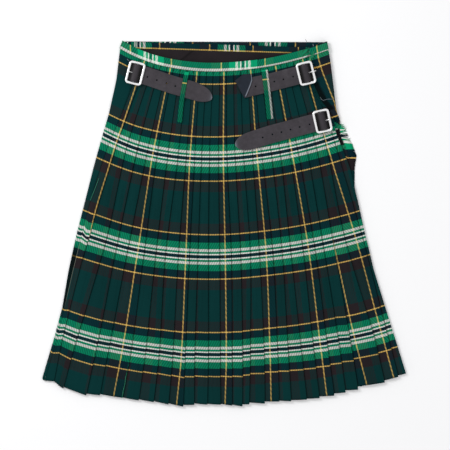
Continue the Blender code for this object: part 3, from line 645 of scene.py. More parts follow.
def plain_cloth(name, colour):
    n = Nodes(name)
    weave = n.add("UVMap", uv_map="weave").outputs[0]
    grain = n.noise(weave, 1500, 2, 0.6)
    level = n.total(n.times(grain, 0.5), n.times(n.noise(weave, 22, 3), 0.8))
    tone = n.tones(level, colour, (0.3, 0.6), (0.95, 1.5))
    # Painted shade from the shade attribute darkens the cloth
    shade = n.add("Attribute", attribute_name="shade").outputs["Fac"]
    tone = n.mix(n.times(shade, 0.8), tone, (0.002, 0.002, 0.002))
    n.shader.inputs["Sheen Weight"].default_value = 0.01
    return n.surface(tone, 0.82, 0.1, n.bump(grain, 0.3, 0.0002))


def leather(name, colour, painted_shade, rough):
    """Grained leather; its shade runs from a pale cut edge with a painted highlight, -1, to painted shade
    inside a buckle, 1.
    """
    n = Nodes(name)
    spot = n.add("TexCoord").outputs["Object"]
    cells = n.add("TexVoronoi", feature="DISTANCE_TO_EDGE")
    n.put(spot, cells.inputs["Vector"])
    cells.inputs["Scale"].default_value = 900
    grain = n.math("MINIMUM", cells.outputs["Distance"], 0.25)
    mottle = n.noise(spot, 160, 4, 0.6)
    level = n.total(n.times(mottle, 0.7), n.times(n.noise(spot, 35), 0.5))
    tone = n.tones(level, colour, (0.35, 0.72), (0.85, 1.28))
    dark, edge_light_and_shade = n.shade()
    tone = n.mix(edge_light_and_shade, n.mix(dark, tone, painted_shade), PALE_CUT_EDGE_AND_HIGHLIGHT)
    return n.surface(tone, rough, 0.22, n.bump(mottle, 0.2, 0.0008, n.bump(grain, 0.35, 0.0004)))


def polished_metal(name):
    n = Nodes(name)
    scuff = n.noise(n.add("TexCoord").outputs["Object"], 420, 4, 0.7)
    tone = n.ramp(scuff, ((0.3, (0.92, 0.92, 0.93)), (0.8, (0.99, 0.99, 0.99))), "LINEAR")
    n.shader.inputs["Metallic"].default_value = 0.5
    return n.surface(tone, n.total(n.times(scuff, 0.18), 0.10), 0.5)


def thread_finish(name, colour):
    n = Nodes(name)
    twist = n.noise(n.add("TexCoord").outputs["Object"], 1800)
    return n.surface(n.tones(twist, colour, (0.3, 0.6), (0.7, 1)), 0.9, 0.5)


TARTAN = tartan("green_tartan")
FRINGE_YARN = tartan("fringe_yarn", warp_shown=False)
LINING_CLOTH = plain_cloth("black_lining", (0.0135, 0.0105, 0.012))
FACING_CLOTH = plain_cloth("black_facing", (0.004, 0.004, 0.005))
# The third colour is that of the painted shade inside the buckles
STRAP_LEATHER = leather("strap_leather", (0.040, 0.035, 0.042), (0.001, 0.001, 0.0012), 0.55)
STRAP_BACK = leather("strap_underside", (0.011, 0.016, 0.025), (0.002, 0.002, 0.003), 0.80)
METAL = polished_metal("buckle_plate")
THREAD_COLOURS = {
    "white": (0.24, 0.29, 0.33),
    "green": (0.005, 0.30, 0.13),
    "pale_green": (0.020, 0.20, 0.12),
    "yellow": (0.78, 0.42, 0.06),
    "brown": (0.06, 0.055, 0.05),
}


# Pleated back
LINE_STEP = 6               # between the grid's weft lines
FACE_STEPS = (0, 0.05, 0.12, 0.26, 0.46, 0.68, 0.86, 1)
FOLD_SHADOW = 1.5           # width of the painted shadow line beside a fold
FELL_DEPTH = 0.17           # darkness of that line where the pleats are sewn down
OPEN_DEPTH = 0.56
PLEAT_DEPTH = 0.14          # how much darker one pleat's face is than another's
A1_DIP = 4.7                # the first pleat's face dips here at its fold
A1_DIP_Y = -52
A1_DIP_REACH = 44
A1_HIGHLIGHT_WIDTH = 0.9               # width of the painted highlight along the left seam
FOLD_REST = 0.8             # the next face starts this far past a fold
RISE_CLEAR = 1.6            # a face has risen this far before its fold
LIFT_POWER = 1.7            # how soon it rises
RIPPLE = 0.16
OPENS_FROM_Y = 150          # the shadows deepen below this row
OPENS_OVER = 30
SEAM_HIGHLIGHT_STRENGTH = 0.75
PANEL_SETT = 62             # place in the sett at the side panel's right fold
PANEL_TURN_WARP = 22        # cloth that the panel turns under
FOLD_ROUND = 0.9            # how far from its edge a fold starts to round over


def yellow_line(name):
    return next((line for line in YELLOW_LINES if line.name == name), None)


def pleat_warp(pleat, edge, y):
    """Place in the sett at the pleat's fold, and the way that it runs."""
    line = yellow_line(pleat.name)
    if line:
        return YELLOW_AT + pleat.way * (edge - station_x(line, y)), pleat.way
    return float(pleat.sett), pleat.way


def seam_highlight(y):
    """Painted highlight along the left seam, below the hip."""
    return SEAM_HIGHLIGHT_STRENGTH * along_side(y, -66, 15, -190, 40)


def lifted(t):
    """Share of a fold's height that a pleat's face has risen to."""
    return 1 - (1 - t) ** LIFT_POWER


def back_section(y):
    base = row_value("base", y)
    share = droop_share(y)
    drop = LEFT_CORNER_DROP
    last_x = row_value("seam", y) + GAP / 2
    start_x = last_x
    points = []

    def point(x, z, warp, fall, shade=0, slip=0):
        droop = share ** SOFT_DROOP if last_x < row_value("seam", y) + GAP else share
        points.append((x, weft_y(y, x) + droop * fall, z, warp, y + slip, shade))

    for count, pleat in enumerate(PLEATS):
        edge = station_x(pleat, y)
        soft = pleat.name == SOFT_PLEAT and y < SOFT_FROM_Y
        stack = SOFT_STACK if soft else between(PRESS, "stack", y)
        tuck = 0 if soft else between(PRESS, "tuck", y) * (edge - last_x)
        if pleat.name == SOFT_PLEAT and y <= HIP_Y:
            tuck = min(tuck, SOFT_TUCK)
        opened = clamp((stack - LAYER) / LAYER)
        top = base + stack
        corner_drop = pleat.hem_y - weft_y(HEM_Y, pleat.hem)
        after = corner_drop + pleat.step
        warp, way = pleat_warp(pleat, edge, y)
        rise_x = edge - tuck - RISE_CLEAR
        ripple = RIPPLE * opened * sin(y / 41 + count * 2.1) * sin(y / 17 + count)
        # Painted shade beside each fold, deeper where the pleats open
        painted_shade = FELL_DEPTH + (OPEN_DEPTH - FELL_DEPTH) * clamp((OPENS_FROM_Y - y) / OPENS_OVER)
        painted_shade *= 0.78 + 0.30 * sin(count * 2.4 + y / 70)
        plain = PLEAT_DEPTH * opened * (0.5 + 0.5 * sin(count * 1.7 + y / 55))
        dip = 0
        if count == 0 and abs(y - A1_DIP_Y) < A1_DIP_REACH:
            dip = A1_DIP * fading(abs(y - A1_DIP_Y), A1_DIP_REACH) / share ** SOFT_DROOP
        for t in FACE_STEPS:
            x = start_x + t * (rise_x - start_x)
            fall = drop + (corner_drop - drop) * (x - last_x) / (edge - last_x)
            z = base + stack * lifted(t) + ripple * sin(pi * t)
            if count:
                dark = plain + painted_shade * fading(x - start_x, FOLD_SHADOW)
            else:
                # The first pleat has a painted highlight along the seam instead
                dark = -seam_highlight(y) * fading(x - start_x, A1_HIGHLIGHT_WIDTH)
            point(x, z, warp + way * (x - edge), fall + dip * (0.5 - 1.5 * t), dark)
        corner = corner_drop - dip
        point(edge - FOLD_ROUND, top, warp - way * FOLD_ROUND, corner, plain)
        point(edge - 0.25, top - 0.12 - 0.08 * opened, warp - way * 0.25, corner, plain)
        point(edge, top - 0.5 * LAYER, warp + way * 0.7, corner, 0.4 * painted_shade)

        # Under the fold the cloth runs back, and returns on the layer below, in full painted shade
        turned = warp + way * 1.4
        inner = turned + way * tuck
        flat = 1 - opened
        point(edge - 0.25 * opened, base + stack * 0.5 + 0.1 * flat, turned, corner_drop, 1)
        point(edge - 0.5 * tuck, base + stack * (0.5 - 0.2 * flat), turned + way * 0.5 * tuck, after, 1)
        point(edge - tuck, base + stack * (0.46 - 0.26 * flat), inner, after, 1)
        point(edge - tuck - 0.25 * opened, base + stack * 0.12, inner, after, 1)
        drop = after
        last_x = edge
        start_x = edge + FOLD_REST

    # Side panel, turned under at the right
    rim_top = base + LAYER
    radius = (rim_top - UNDER_Z) / 2
    rim_x = row_value("right", y) - SIDE_INSET - radius
    slip = between(LAP_SLIP, "weft", y)
    for t in FACE_STEPS:
        x = start_x + t * (rim_x - start_x)
        # Painted shadow beside the last fold
        dark = OPEN_DEPTH * fading(x - start_x, FOLD_SHADOW)
        z = base + LAYER * lifted(min(t / 0.6, 1))
        point(x, z, PANEL_SETT - (rim_x - x), drop * (1 - t), dark, slip * t * t)
    for k in range(1, 7):
        angle = pi / 2 - pi * k / 6
        x = rim_x + radius * cos(angle)
        point(x, rim_top - radius + radius * sin(angle), PANEL_SETT + radius * pi * k / 6, 0, 0, slip)
    end_x = rim_x - SIDE_TURN
    points.append((end_x, under_y(y, end_x - GAP), UNDER_Z, PANEL_SETT + PANEL_TURN_WARP, y, 0))
    return points


def weft_lines(top, bottom, step):
    return spread(top, bottom, ceil((top - bottom) / step))


def make_pleated_back():
    sections = [back_section(y) for y in weft_lines(WAIST_Y, HEM_Y, LINE_STEP)]
    obj = woven("kilt_back", sections, TARTAN)
    finish_piece(obj, ["pleated_back"])


# Aprons
def apron_y(y, x, left_x, right_x):
    """Height at x of a weft line of the flat aprons: nearly straight."""
    left_y = weft_y(y, left_x)
    right_y = weft_y(y, right_x)
    share = (x - left_x) / (right_x - left_x)
    down = (WAIST_Y - y) / (WAIST_Y - HEM_Y)
    bow = APRON_BOW * down * 4 * share * (1 - share)
    return left_y + share * (right_y - left_y) - bow + APRON_HEM_INSET * down


def under_y(y, x):
    """Height at x of a weft line of the inner apron."""
    left_x = row_value("left", y)
    right_x = row_value("right", y)
    down = (WAIST_Y - y) / (WAIST_Y - HEM_Y)
    drop = UNDER_TOP_INSET + UNDER_RIGHT_DROP * (x - left_x) / (right_x - left_x)
    return apron_y(y, x, left_x, right_x) - drop * (1 - down)


LAP_NAVY = 13.5             # the navy stripe beside the lap's yellow line
LAP_SHADOW_FROM = 222       # the lap's ragged edge has a painted shadow between these rows
LAP_SHADOW_TO = 165
LAP_SHADOW_WIDTH = 10.5
LAP_SHADOW_FADE = 2.5
WHITE_AT_X = 85.8           # a white band runs down the over-apron's flat part here
LAST_WARP_X = 213           # brown and dark up to the edge from here
ROLL_STEPS = 12


def wrap_section(y):
    """The over-apron's right end at a weft line, from the flat part to its edge."""
    out, edge, lap, curl, top = columns(WRAP, y)
    turn = pi * (top - OVER_Z) / 2
    rolled_start = out - SIDE_INSET - (top - OVER_Z) / 2
    flat_start = edge - turn - lap
    start = flat_start + curl * (rolled_start - flat_start)
    end_angle = pi * curl
    left_x = row_value("left", y)
    steps = [turn * k / ROLL_STEPS for k in range(ROLL_STEPS + 1)]
    steps += [turn + lap * k / 8 for k in range(1, 9)]
    line_x = between(LAP_YELLOW, "x", y)
    line_s = turn + max(rolled_start - line_x, -0.5 * turn)
    points = []
    for s in steps:
        bent = min(s, turn)
        if curl:
            radius = turn / end_angle
            x = start + radius * sin(bent / radius)
            z = OVER_Z + radius * (1 - cos(bent / radius))
        else:
            x = start + bent
            z = OVER_Z
        x += (s - bent) * cos(end_angle)
        z += (s - bent) * sin(end_angle)
        side_y = weft_y(y, x)
        flat_y = apron_y(y, x, left_x, out)
        on_top = curl * min(s / turn, 1)
        near = min(s / turn, 1) if y < WRAP_FLATTENS_Y else on_top
        flat_warp = min(start + s, LAST_WARP_X) - WHITE_AT_X
        # The lap's own threads take over in the lower half of the turn
        mixed = min(2 * s / turn, 1) if curl > 0.99 else 0
        lap_warp = 2 * HALF_REPEAT - YELLOW_AT + min(s - line_s, LAP_NAVY)
        warp = flat_warp + mixed * (lap_warp - flat_warp)
        # Painted shadow on the lap's ragged edge
        edge_light_and_shade = 0
        if LAP_SHADOW_TO < y < LAP_SHADOW_FROM and s > turn:
            edge_light_and_shade = clamp((s - turn - lap + LAP_SHADOW_WIDTH) / LAP_SHADOW_FADE)
        slipped = y + between(LAP_SLIP, "weft", y)
        points.append((x, flat_y + near * (side_y - flat_y), z, warp, slipped, edge_light_and_shade))
    return points


FLAP_SETT = 62              # place in the sett at the left flap's seam
TURN_IN_Y = 271             # the apron's top is turned in above this row
TURN_IN_SHIFT = 131.5       # so its weft there is further down the cloth
FREE_X = 40                 # the flat part has its own threads right of this
FLAP_DARK = 0.95
SEAM_DARK = 0.3             # least painted shade right at the flap's seam


def flap_shade(y):
    """The left flap lies in the shadow of the side's fold below the hip."""
    return FLAP_DARK * along_side(y, -76, 14, -197, 22)


def over_section(y):
    left_x = row_value("left", y)
    lap_z = row_value("base", y)
    radius = (lap_z - OVER_Z) / 2
    centre_x = left_x + SIDE_INSET + radius
    seam = row_value("seam", y) - GAP / 2
    share = droop_share(y)
    wrap = wrap_section(y)
    points = []
    for k in range(6):
        x = seam + (centre_x - seam) * k / 6
        height = weft_y(y, x) + share * LEFT_CORNER_DROP
        dark = max(flap_shade(y), SEAM_DARK if k == 0 else 0)
        points.append((x, height, lap_z, FLAP_SETT + seam - x, y, dark))
    roll = FLAP_SETT + seam - centre_x
    for k in range(9):
        angle = pi / 2 + pi * k / 8
        x = centre_x + radius * cos(angle)
        z = (lap_z + OVER_Z) / 2 + radius * sin(angle)
        low = apron_y(y, x, left_x, row_value("right", y))
        height = weft_y(y, x) * (1 - k / 8) + low * k / 8 + (1 - k / 8) * share * LEFT_CORNER_DROP
        points.append((x, height, z, roll + pi * radius * k / 8, y, flap_shade(y) * (1 - k / 8)))
    rolled = roll + pi * radius
    first = wrap[0]
    out = between(WRAP, "out", y)
    turned_in = TURN_IN_SHIFT if y > TURN_IN_Y else 0
    # The threads even out between the left edge and the middle of the front
    free_warp = FREE_X - WHITE_AT_X + 4 * HALF_REPEAT
    for k in range(1, 36):
        x = centre_x + (first[0] - centre_x) * k / 36
        warp = x - WHITE_AT_X + 4 * HALF_REPEAT
        if x < FREE_X:
            warp = rolled + (free_warp - rolled) * (x - centre_x) / (FREE_X - centre_x)
        points.append((x, apron_y(y, x, left_x, out), OVER_Z, warp, y - turned_in, 0))
    for x, height, z, warp, weft, shade in wrap:
        points.append((x, height, z, warp + 4 * HALF_REPEAT, weft, shade))
    return points


def make_over_apron():
    heights = sorted(set(weft_lines(WAIST_Y, HEM_Y, LINE_STEP)) | {w.y for w in WRAP}, reverse=True)
    heights = [y for k, y in enumerate(heights) if k == 0 or heights[k - 1] - y > 0.5]
    heights = sorted(heights + [TURN_IN_Y, TURN_IN_Y + 0.1], reverse=True)
    # The grid's columns run from the lap over the left side to the right edge
    sections = [over_section(y) for y in heights]
    obj = woven("outer_apron", sections, TARTAN)
    finish_piece(obj, ["over_apron"])
    return obj


def make_under_apron():
    sections = []
    for y in weft_lines(WAIST_Y, HEM_Y, 12):
        left_x = row_value("left", y) + UNDER_LEFT_INSET
        base = row_value("base", y)
        radius = (base + LAYER - UNDER_Z) / 2
        right_x = row_value("right", y) - SIDE_INSET - radius - SIDE_TURN - GAP
        xs = spread(left_x, right_x, 40)
        sections.append([(x, under_y(y, x), UNDER_Z, x + UNDER_WARP, y, 0) for x in xs])
    obj = woven("inner_apron", sections, TARTAN)
    finish_piece(obj, ["under_apron"])
    return obj


# Inside of the waist
FACING_KNOTS = table(
    "x warp", (-190, -79), (-152, 0), (-114, 39.75), (-25.3, 132.25), (13.3, 172), (50.9, 211.75),
    (131.1, 304.25), (190, 372))
BAND_KNOTS = table(
    "x warp", (-190, -66), (-165.1, -39.75), (-129.5, 0), (-93.3, 39.75), (-4.85, 132.25), (33.2, 172),
    (72, 211.75), (138.1, 296), (190, 310))


def knotted(knots, x):
    """Place in the sett at x, between the places where stripes are known."""
    for low, high in zip(knots, knots[1:]):
        if x <= high.x or high is knots[-1]:
            return low.warp + (high.warp - low.warp) * (x - low.x) / (high.x - low.x)
    return knots[-1].warp


INSIDE_LEFT = 9
CREASE_X = -71.6            # middle of the lining's one slanting crease
CREASE_Y = 296.7
CREASE_ACROSS = (0.63, -0.78)   # direction straight across it
CREASE_HEIGHT = 0.9
CREASE_REACH = 2.5
CREASE_SHADOW = 0.7
INSIDE_RIGHT_X = 152
FACING_TOP_WEFT = 29.5      # place in the half repeat at the facing's upper edge


def make_inside():
    left_x = row_value("left", WAIST_Y) + INSIDE_LEFT
    xs = spread(left_x, INSIDE_RIGHT_X, 150)
    lines = [[(x, under_y(WAIST_Y, x) - down, LINING_Z, knotted(FACING_KNOTS, x),
               FELL_Y + FACING_TOP_WEFT + down, 0) for x in xs] for down in spread(0, FACING_WIDTH, 4)]
    facing = woven("waist_facing", lines, TARTAN)
    finish_piece(facing, ["waistband_facing"])

    # The lining has one slanting crease, with a painted shadow beside it
    lines = []
    for j in range(61):
        t = (j / 60) ** 1.5
        line = []
        for x in xs:
            top = under_y(WAIST_Y, x) - FACING_WIDTH - GAP
            low_x = x - (0 if x > 0 else 6)
            low = weft_y(LINING_BOTTOM_Y, x)
            here_x = x + t * (low_x - x)
            here_y = top + t * (low - top)
            off = CREASE_ACROSS[0] * (here_x - CREASE_X) + CREASE_ACROSS[1] * (here_y - CREASE_Y)
            crease = CREASE_HEIGHT * fading(abs(off), CREASE_REACH)
            dark = CREASE_SHADOW * fading(abs(off - 3), CREASE_REACH)
            line.append((here_x, here_y, LINING_Z + crease, here_x, here_y, dark))
        lines.append(line)
    lining = woven("waist_lining", lines, LINING_CLOTH)
    finish_piece(lining, ["lining"])


# Waistband
BAND_ABOVE = 0.8
BAND_WIDTH = 15.4
BAND_RIGHT_X = 170
FLAP_END_X = -152
PLEATS_START_X = -138
BAND_TOP_WEFT = 24.4        # place in the half repeat at the strip's upper edge
LAP_TOP_WEFT = 27.6         # place in the half repeat at the lap's upper edge
LAP_BAND_END = 148.5


def band_point(x, y, z, warp, top_weft, shade=0):
    down = WAIST_Y + BAND_ABOVE - y
    puff = 0.35 * sin(pi * clamp(down / BAND_WIDTH))
    return (x, weft_y(y, x), z + puff, warp, FELL_Y + top_weft - down, shade)


def band_top_weft(x):
    """The strip was sewn a little deeper on its right half."""
    return BAND_TOP_WEFT + 2 * clamp((x - 10) / 50)


def band_rows():
    """Height of each row of the waistband, and the row of the kilt beside it."""
    for j in range(7):
        y = WAIST_Y + BAND_ABOVE - BAND_WIDTH * j / 6
        yield y, min(y, WAIST_Y)


def make_waistband():
    side_z = row_value("base", WAIST_Y) + LAYER
    radius = (row_value("base", WAIST_Y) - OVER_Z) / 2
    lines = []
    for y, row_y in band_rows():
        centre = row_value("left", row_y) + SIDE_INSET + radius
        line = []
        for k in range(6):
            angle = pi - pi / 2 * k / 6
            x = centre + (radius + LAYER) * cos(angle)
            z = OVER_Z + radius + (radius + LAYER) * sin(angle)
            line.append(band_point(x, y, z, knotted(BAND_KNOTS, x), band_top_weft(x)))
        for x in spread(centre, BAND_RIGHT_X, 109):
            share = clamp((x - FLAP_END_X) / (PLEATS_START_X - FLAP_END_X))
            z = side_z + LAYER * eased(share) + 0.10 * sin(x / 11 * 2 * pi)
            # Painted shadow where the lap ends on the band
            dark = 0.7 * fading(abs(x - LAP_BAND_END), 3)
            line.append(band_point(x, y, z, knotted(BAND_KNOTS, x), band_top_weft(x), dark))
        lines.append(line)
    band = woven("back_waistband", lines, TARTAN)
    finish_piece(band, ["waistband_back"])

    lines = []
    for y, row_y in band_rows():
        out, _, lap, _, top = columns(WRAP, row_y)
        roll = (top - OVER_Z) / 2
        centre = out - SIDE_INSET - roll
        start = YELLOW_AT + centre - between(LAP_YELLOW, "x", row_y)
        line = []
        for k in range(20, 0, -1):
            back = lap * k / 20
            line.append(band_point(centre - back, y, top + LAYER, start - back, LAP_TOP_WEFT))
        for k in range(9):
            turned = pi / 2 * k / 8
            x = centre + (roll + LAYER) * sin(turned)
            z = OVER_Z + roll + (roll + LAYER) * cos(turned)
            line.append(band_point(x, y, z, start + (roll + LAYER) * turned, LAP_TOP_WEFT))
        lines.append(line)
    band = woven("apron_waistband", lines, TARTAN)
    finish_piece(band, ["waistband_apron"])


# Belt loops
# Each is cut along the green stripe: place of the yellow weft from its top, and
# the place in the sett at its middle and how fast that falls to the right.
LOOPS = table(
    "name top bottom strap_from strap_to stripe half_width sett fall bow",
    ("left", (-65.6, 268.5), (-78.4, 179.5), 8.5, 48, 20.3, 4, 19.4, 1.2, -1.8),
    ("right", (71, 272), (81, 185.5), 6, 43.5, 17, 5.6, 16.8, 1.35, 0.5),
)
YELLOW_ROW = 247
LOOP_BELOW = 0.22           # the loop is darker below its top end
CLIMB_START = 4.6           # it climbs onto the strap from here before its edge
CLIMB_END = 5.6
STRAP_ON_CLOTH = PLEAT_TOP + GAP + LEATHER / 2


def make_loop(loop):
    """A belt loop cut along the green stripe, over the strap."""
    top = Vector(loop.top)
    bottom = Vector(loop.bottom)
    length = (top - bottom).length
    down = (bottom - top).normalized()
    across = Vector((-down.y, down.x))
    low = PLEAT_TOP + GAP + 0.5
    over = STRAP_ON_CLOTH + LEATHER / 2 + GAP + 0.5
    lines = []
    for s in spread(0, length, 60):
        rise = eased(clamp((s - loop.strap_from + CLIMB_START) / 4))
        fall = eased(clamp((loop.strap_to + CLIMB_END - s) / 5))
        z = low + (over - low) * min(rise, fall)
        spot = top + down * s
        line = []
        for w in spread(-loop.half_width, loop.half_width, 8):
            place = spot + across * (w + loop.bow * sin(pi * s / length))
            rounded = z - 0.25 * (abs(w) / loop.half_width) ** 4
            dark = LOOP_BELOW * clamp((s - loop.strap_from) / 12)
            line.append((*place, rounded, loop.sett - loop.fall * w, YELLOW_ROW + loop.stripe - s, dark))
        lines.append(line)
    obj = woven("loop_" + loop.name, lines, TARTAN, 0.9)
    finish_piece(obj, ["belt_loop_" + loop.name])


# Straps and buckles
STRAPS = table(
    "name centre heading turn seat path holes",
    ("left", (-156.5, 266.2), 1, radians(-14), 6.2, ((-92, 246.2), (-43, 232), (-21, 227.4)),
     ((-135, 259.5), (-118.5, 254), (-101.5, 248.5), (-86, 243.5))),
    ("right", (144, 265.8), -1, radians(13.8), 7.5, ((86.5, 251.3), (44, 240.8), (29, 238.5)),
     ((55.5, 243), (88.5, 251.5), (104.5, 255.5), (121.5, 260))),
    ("hip", (173, 181.8), -1, radians(12.5), 6.2, ((81, 158.2), (54, 149.5), (20, 141.8)),
     ((68, 153), (85, 158.5), (101, 162.5), (117, 167), (133, 171.5), (150.5, 176))),
)
STRAP_HALF_WIDTH = 15.8
BUCKLE_WIDTH = 38.8
BUCKLE_WIRE = 3.2
BUCKLE_CORNER = 3.8
RING_LENGTH = 29.8          # the ring as it looks: a flat band, wider than the wire
RING_ACROSS = 40.8
RING_WIDTH = 4.2
CENTRE_BAR = 2.4
PRONG = 2.2
TAB = 1
TAB_HALF_WIDTH = 13
TAB_END = 30
PRONG_END = {"left": 14.2, "right": 18, "hip": 14.2}  # from the centre bar
STRAP_START = -13.2
STRAIGHT = 20
BULGE_FOOT = 9.6
BULGE_SHOULDER = 3.4
SHOULDER_DROP = 0.7
BAR_RISE = 4.6
TIP_LENGTH = 38
# A tip's two sides taper over unlike lengths, to an apex off the middle line
Tip = namedtuple("Tip", "first_length last_length apex")
TIPS = {"left": Tip(38, 26, -5.5), "hip": Tip(25, 38, 1.5)}
TIP_FULLNESS = 0.46
HOLE = 1.5                  # radius of a strap's hole
SLOT_AT = 7.6               # of the prong's slot in a strap, from the centre bar
SLOT_LENGTH = 4.8
SLOT_CLEAR = 1.2
# The line that the right strap folds over, and the lines of its folded end
FOLD_LINE = ((20.5, 254), (37.5, 223))
FLAP_LINES = (((25.5, 258), (45.8, 243.5)), ((30, 261.5), (49.2, 254)), ((34.2, 264.6), (47.6, 263.8)))


def strap_on_tab(strap):
    return strap.seat + GAP + TAB + GAP + LEATHER / 2


def frame_z(strap):
    return strap_on_tab(strap) + LEATHER / 2 + GAP + BUCKLE_WIRE / 2


def bar_z(strap):
    return strap.seat + BAR_RISE


def bulge_z(strap):
    return bar_z(strap) + CENTRE_BAR / 2 + GAP + TAB + GAP + LEATHER / 2


def lift_at(strap, s):
    """Height of the strap's middle at a distance from the centre bar."""
    low = strap_on_tab(strap)
    high = bulge_z(strap)
    marks = ((STRAP_START, low), (-BULGE_FOOT, low), (-BULGE_SHOULDER, high - SHOULDER_DROP), (0, high),
             (BULGE_SHOULDER, high - SHOULDER_DROP), (BULGE_FOOT, low), (TAB_END + 1.5, low),
             (TAB_END + 9, STRAP_ON_CLOTH))
    if s <= marks[0][0]:
        return low
    for (s0, z0), (s1, z1) in zip(marks, marks[1:]):
        if s <= s1:
            return z0 + (z1 - z0) * (s - s0) / (s1 - s0)
    return STRAP_ON_CLOTH


def strap_axis(strap):
    along = Vector((cos(strap.turn), sin(strap.turn))) * strap.heading
    return along, Vector((-along.y, along.x))


def path_points(strap):
    centre = Vector(strap.centre)
    return [centre, centre + strap_axis(strap)[0] * STRAIGHT] + [Vector(p) for p in strap.path]


def point_on_path(strap, distance):
    points = path_points(strap)
    left = distance
    for a, b in zip(points, points[1:]):
        step = (b - a).length
        direction = (b - a).normalized()
        if left <= step or b is points[-1]:
            break
        left -= step
    return a + direction * left, direction


def path_length(strap):
    points = path_points(strap)
    return sum((b - a).length for a, b in zip(points, points[1:]))


STRAP_COLUMNS = 12
STRAP_STEP = 1.6            # from one row to the next
RIGHT_BODY = 46             # length of the right strap from its tab to its fold
EDGE_DROP = 0.25            # its edges lie lower than its middle
HOLLOW_END = 12.6           # inner end of the buckle, from the centre bar
RIDGE_END = 4.2             # of the lighter ridge over the bar, a painted highlight
GAP_START = 4.6             # of the painted shadow in the gaps beside it
HOLLOW_FADE = 1.4


def buckle_shade(s):
    """Painted shade on the strap inside its buckle: a lighter ridge, a painted highlight, between two
    painted shadows in the gaps.
    """
    inside = clamp((HOLLOW_END - abs(s)) / HOLLOW_FADE)
    ridge = max(0, 1 - (s / RIDGE_END) ** 2)
    gap = clamp((abs(s) - GAP_START) / HOLLOW_FADE)
    return inside * min(0.50 - 0.30 * ridge + 0.62 * gap, 0.98)


def strap_row(strap, s, first, last, z, shade):
    """A row of points across the strap, from its one side to the other."""
    spot, direction = point_on_path(strap, s)
    across = Vector((-direction.y, direction.x))
    return [(*(spot + across * w), z, w, s, shade) for w in spread(first, last, STRAP_COLUMNS)]


def folded_rows():
    """The right strap's tip, folded over its own end along a slanting line."""
    fold_a = Vector(FOLD_LINE[0])
    fold_b = Vector(FOLD_LINE[1])
    outward = Vector(((fold_b - fold_a).y, (fold_a - fold_b).x)).normalized()
    radius = (LEATHER + GAP) / 2
    low = STRAP_ON_CLOTH
    rows = []
    for k in range(9):
        angle = -pi / 2 + pi * k / 8
        shift = outward * radius * cos(angle)
        z = low + radius + radius * sin(angle)
        row = []
        for i in range(STRAP_COLUMNS + 1):
            spot = fold_b.lerp(fold_a, i / STRAP_COLUMNS) + shift
            row.append((*spot, z, 0, 0, 0))
        rows.append(row)
    last = [Vector(p[:2]) for p in (rows[-1][0], rows[-1][-1])]
    top = low + 2 * radius
    ends = [(last[0], last[1])]
    ends += [(Vector(b), Vector(a)) for a, b in FLAP_LINES]
    for (b0, a0), (b1, a1) in zip(ends, ends[1:]):
        for k in range(1, 5):
            b = b0.lerp(b1, k / 4)
            a = a0.lerp(a1, k / 4)
            row = [(*b.lerp(a, i / STRAP_COLUMNS), top, 0, 0, 0) for i in range(STRAP_COLUMNS + 1)]
            # The flap's side is paler: its cut edge, with a painted highlight
            row[0] = (*row[0][:5], -1)
            rows.append(row)
    return rows


def tip_sides(tip, left):
    """The strap's two sides at a distance from its tip."""
    sides = []
    for taper, side in ((tip.first_length, STRAP_HALF_WIDTH), (tip.last_length, -STRAP_HALF_WIDTH)):
        share = min(left / taper, 1)
        full = (1 - (1 - share) ** 2) ** TIP_FULLNESS
        sides.append(tip.apex + (side - tip.apex) * full)
    return sides


def punch(obj, spots):
    """Round holes through a strap."""
    bm = bmesh.new()
    for x, y in spots:
        place = Matrix.Translation(placed((x, y, STRAP_ON_CLOTH + 1)))
        bmesh.ops.create_cone(bm, cap_ends=True, segments=16, radius1=HOLE * MM, radius2=HOLE * MM,
                              depth=6 * MM, matrix=place)
    cut_away(obj, bm)


def cut_slot(obj, centre, size, turn):
    """A slot that the prong goes through."""
    bm = bmesh.new()
    bmesh.ops.create_cube(bm, size=1)
    place = Matrix.Translation(placed(centre)) @ Matrix.Rotation(turn, 4, "Z")
    bm.transform(place @ Matrix.Diagonal((*[s * MM for s in size], 1)))
    cut_away(obj, bm)


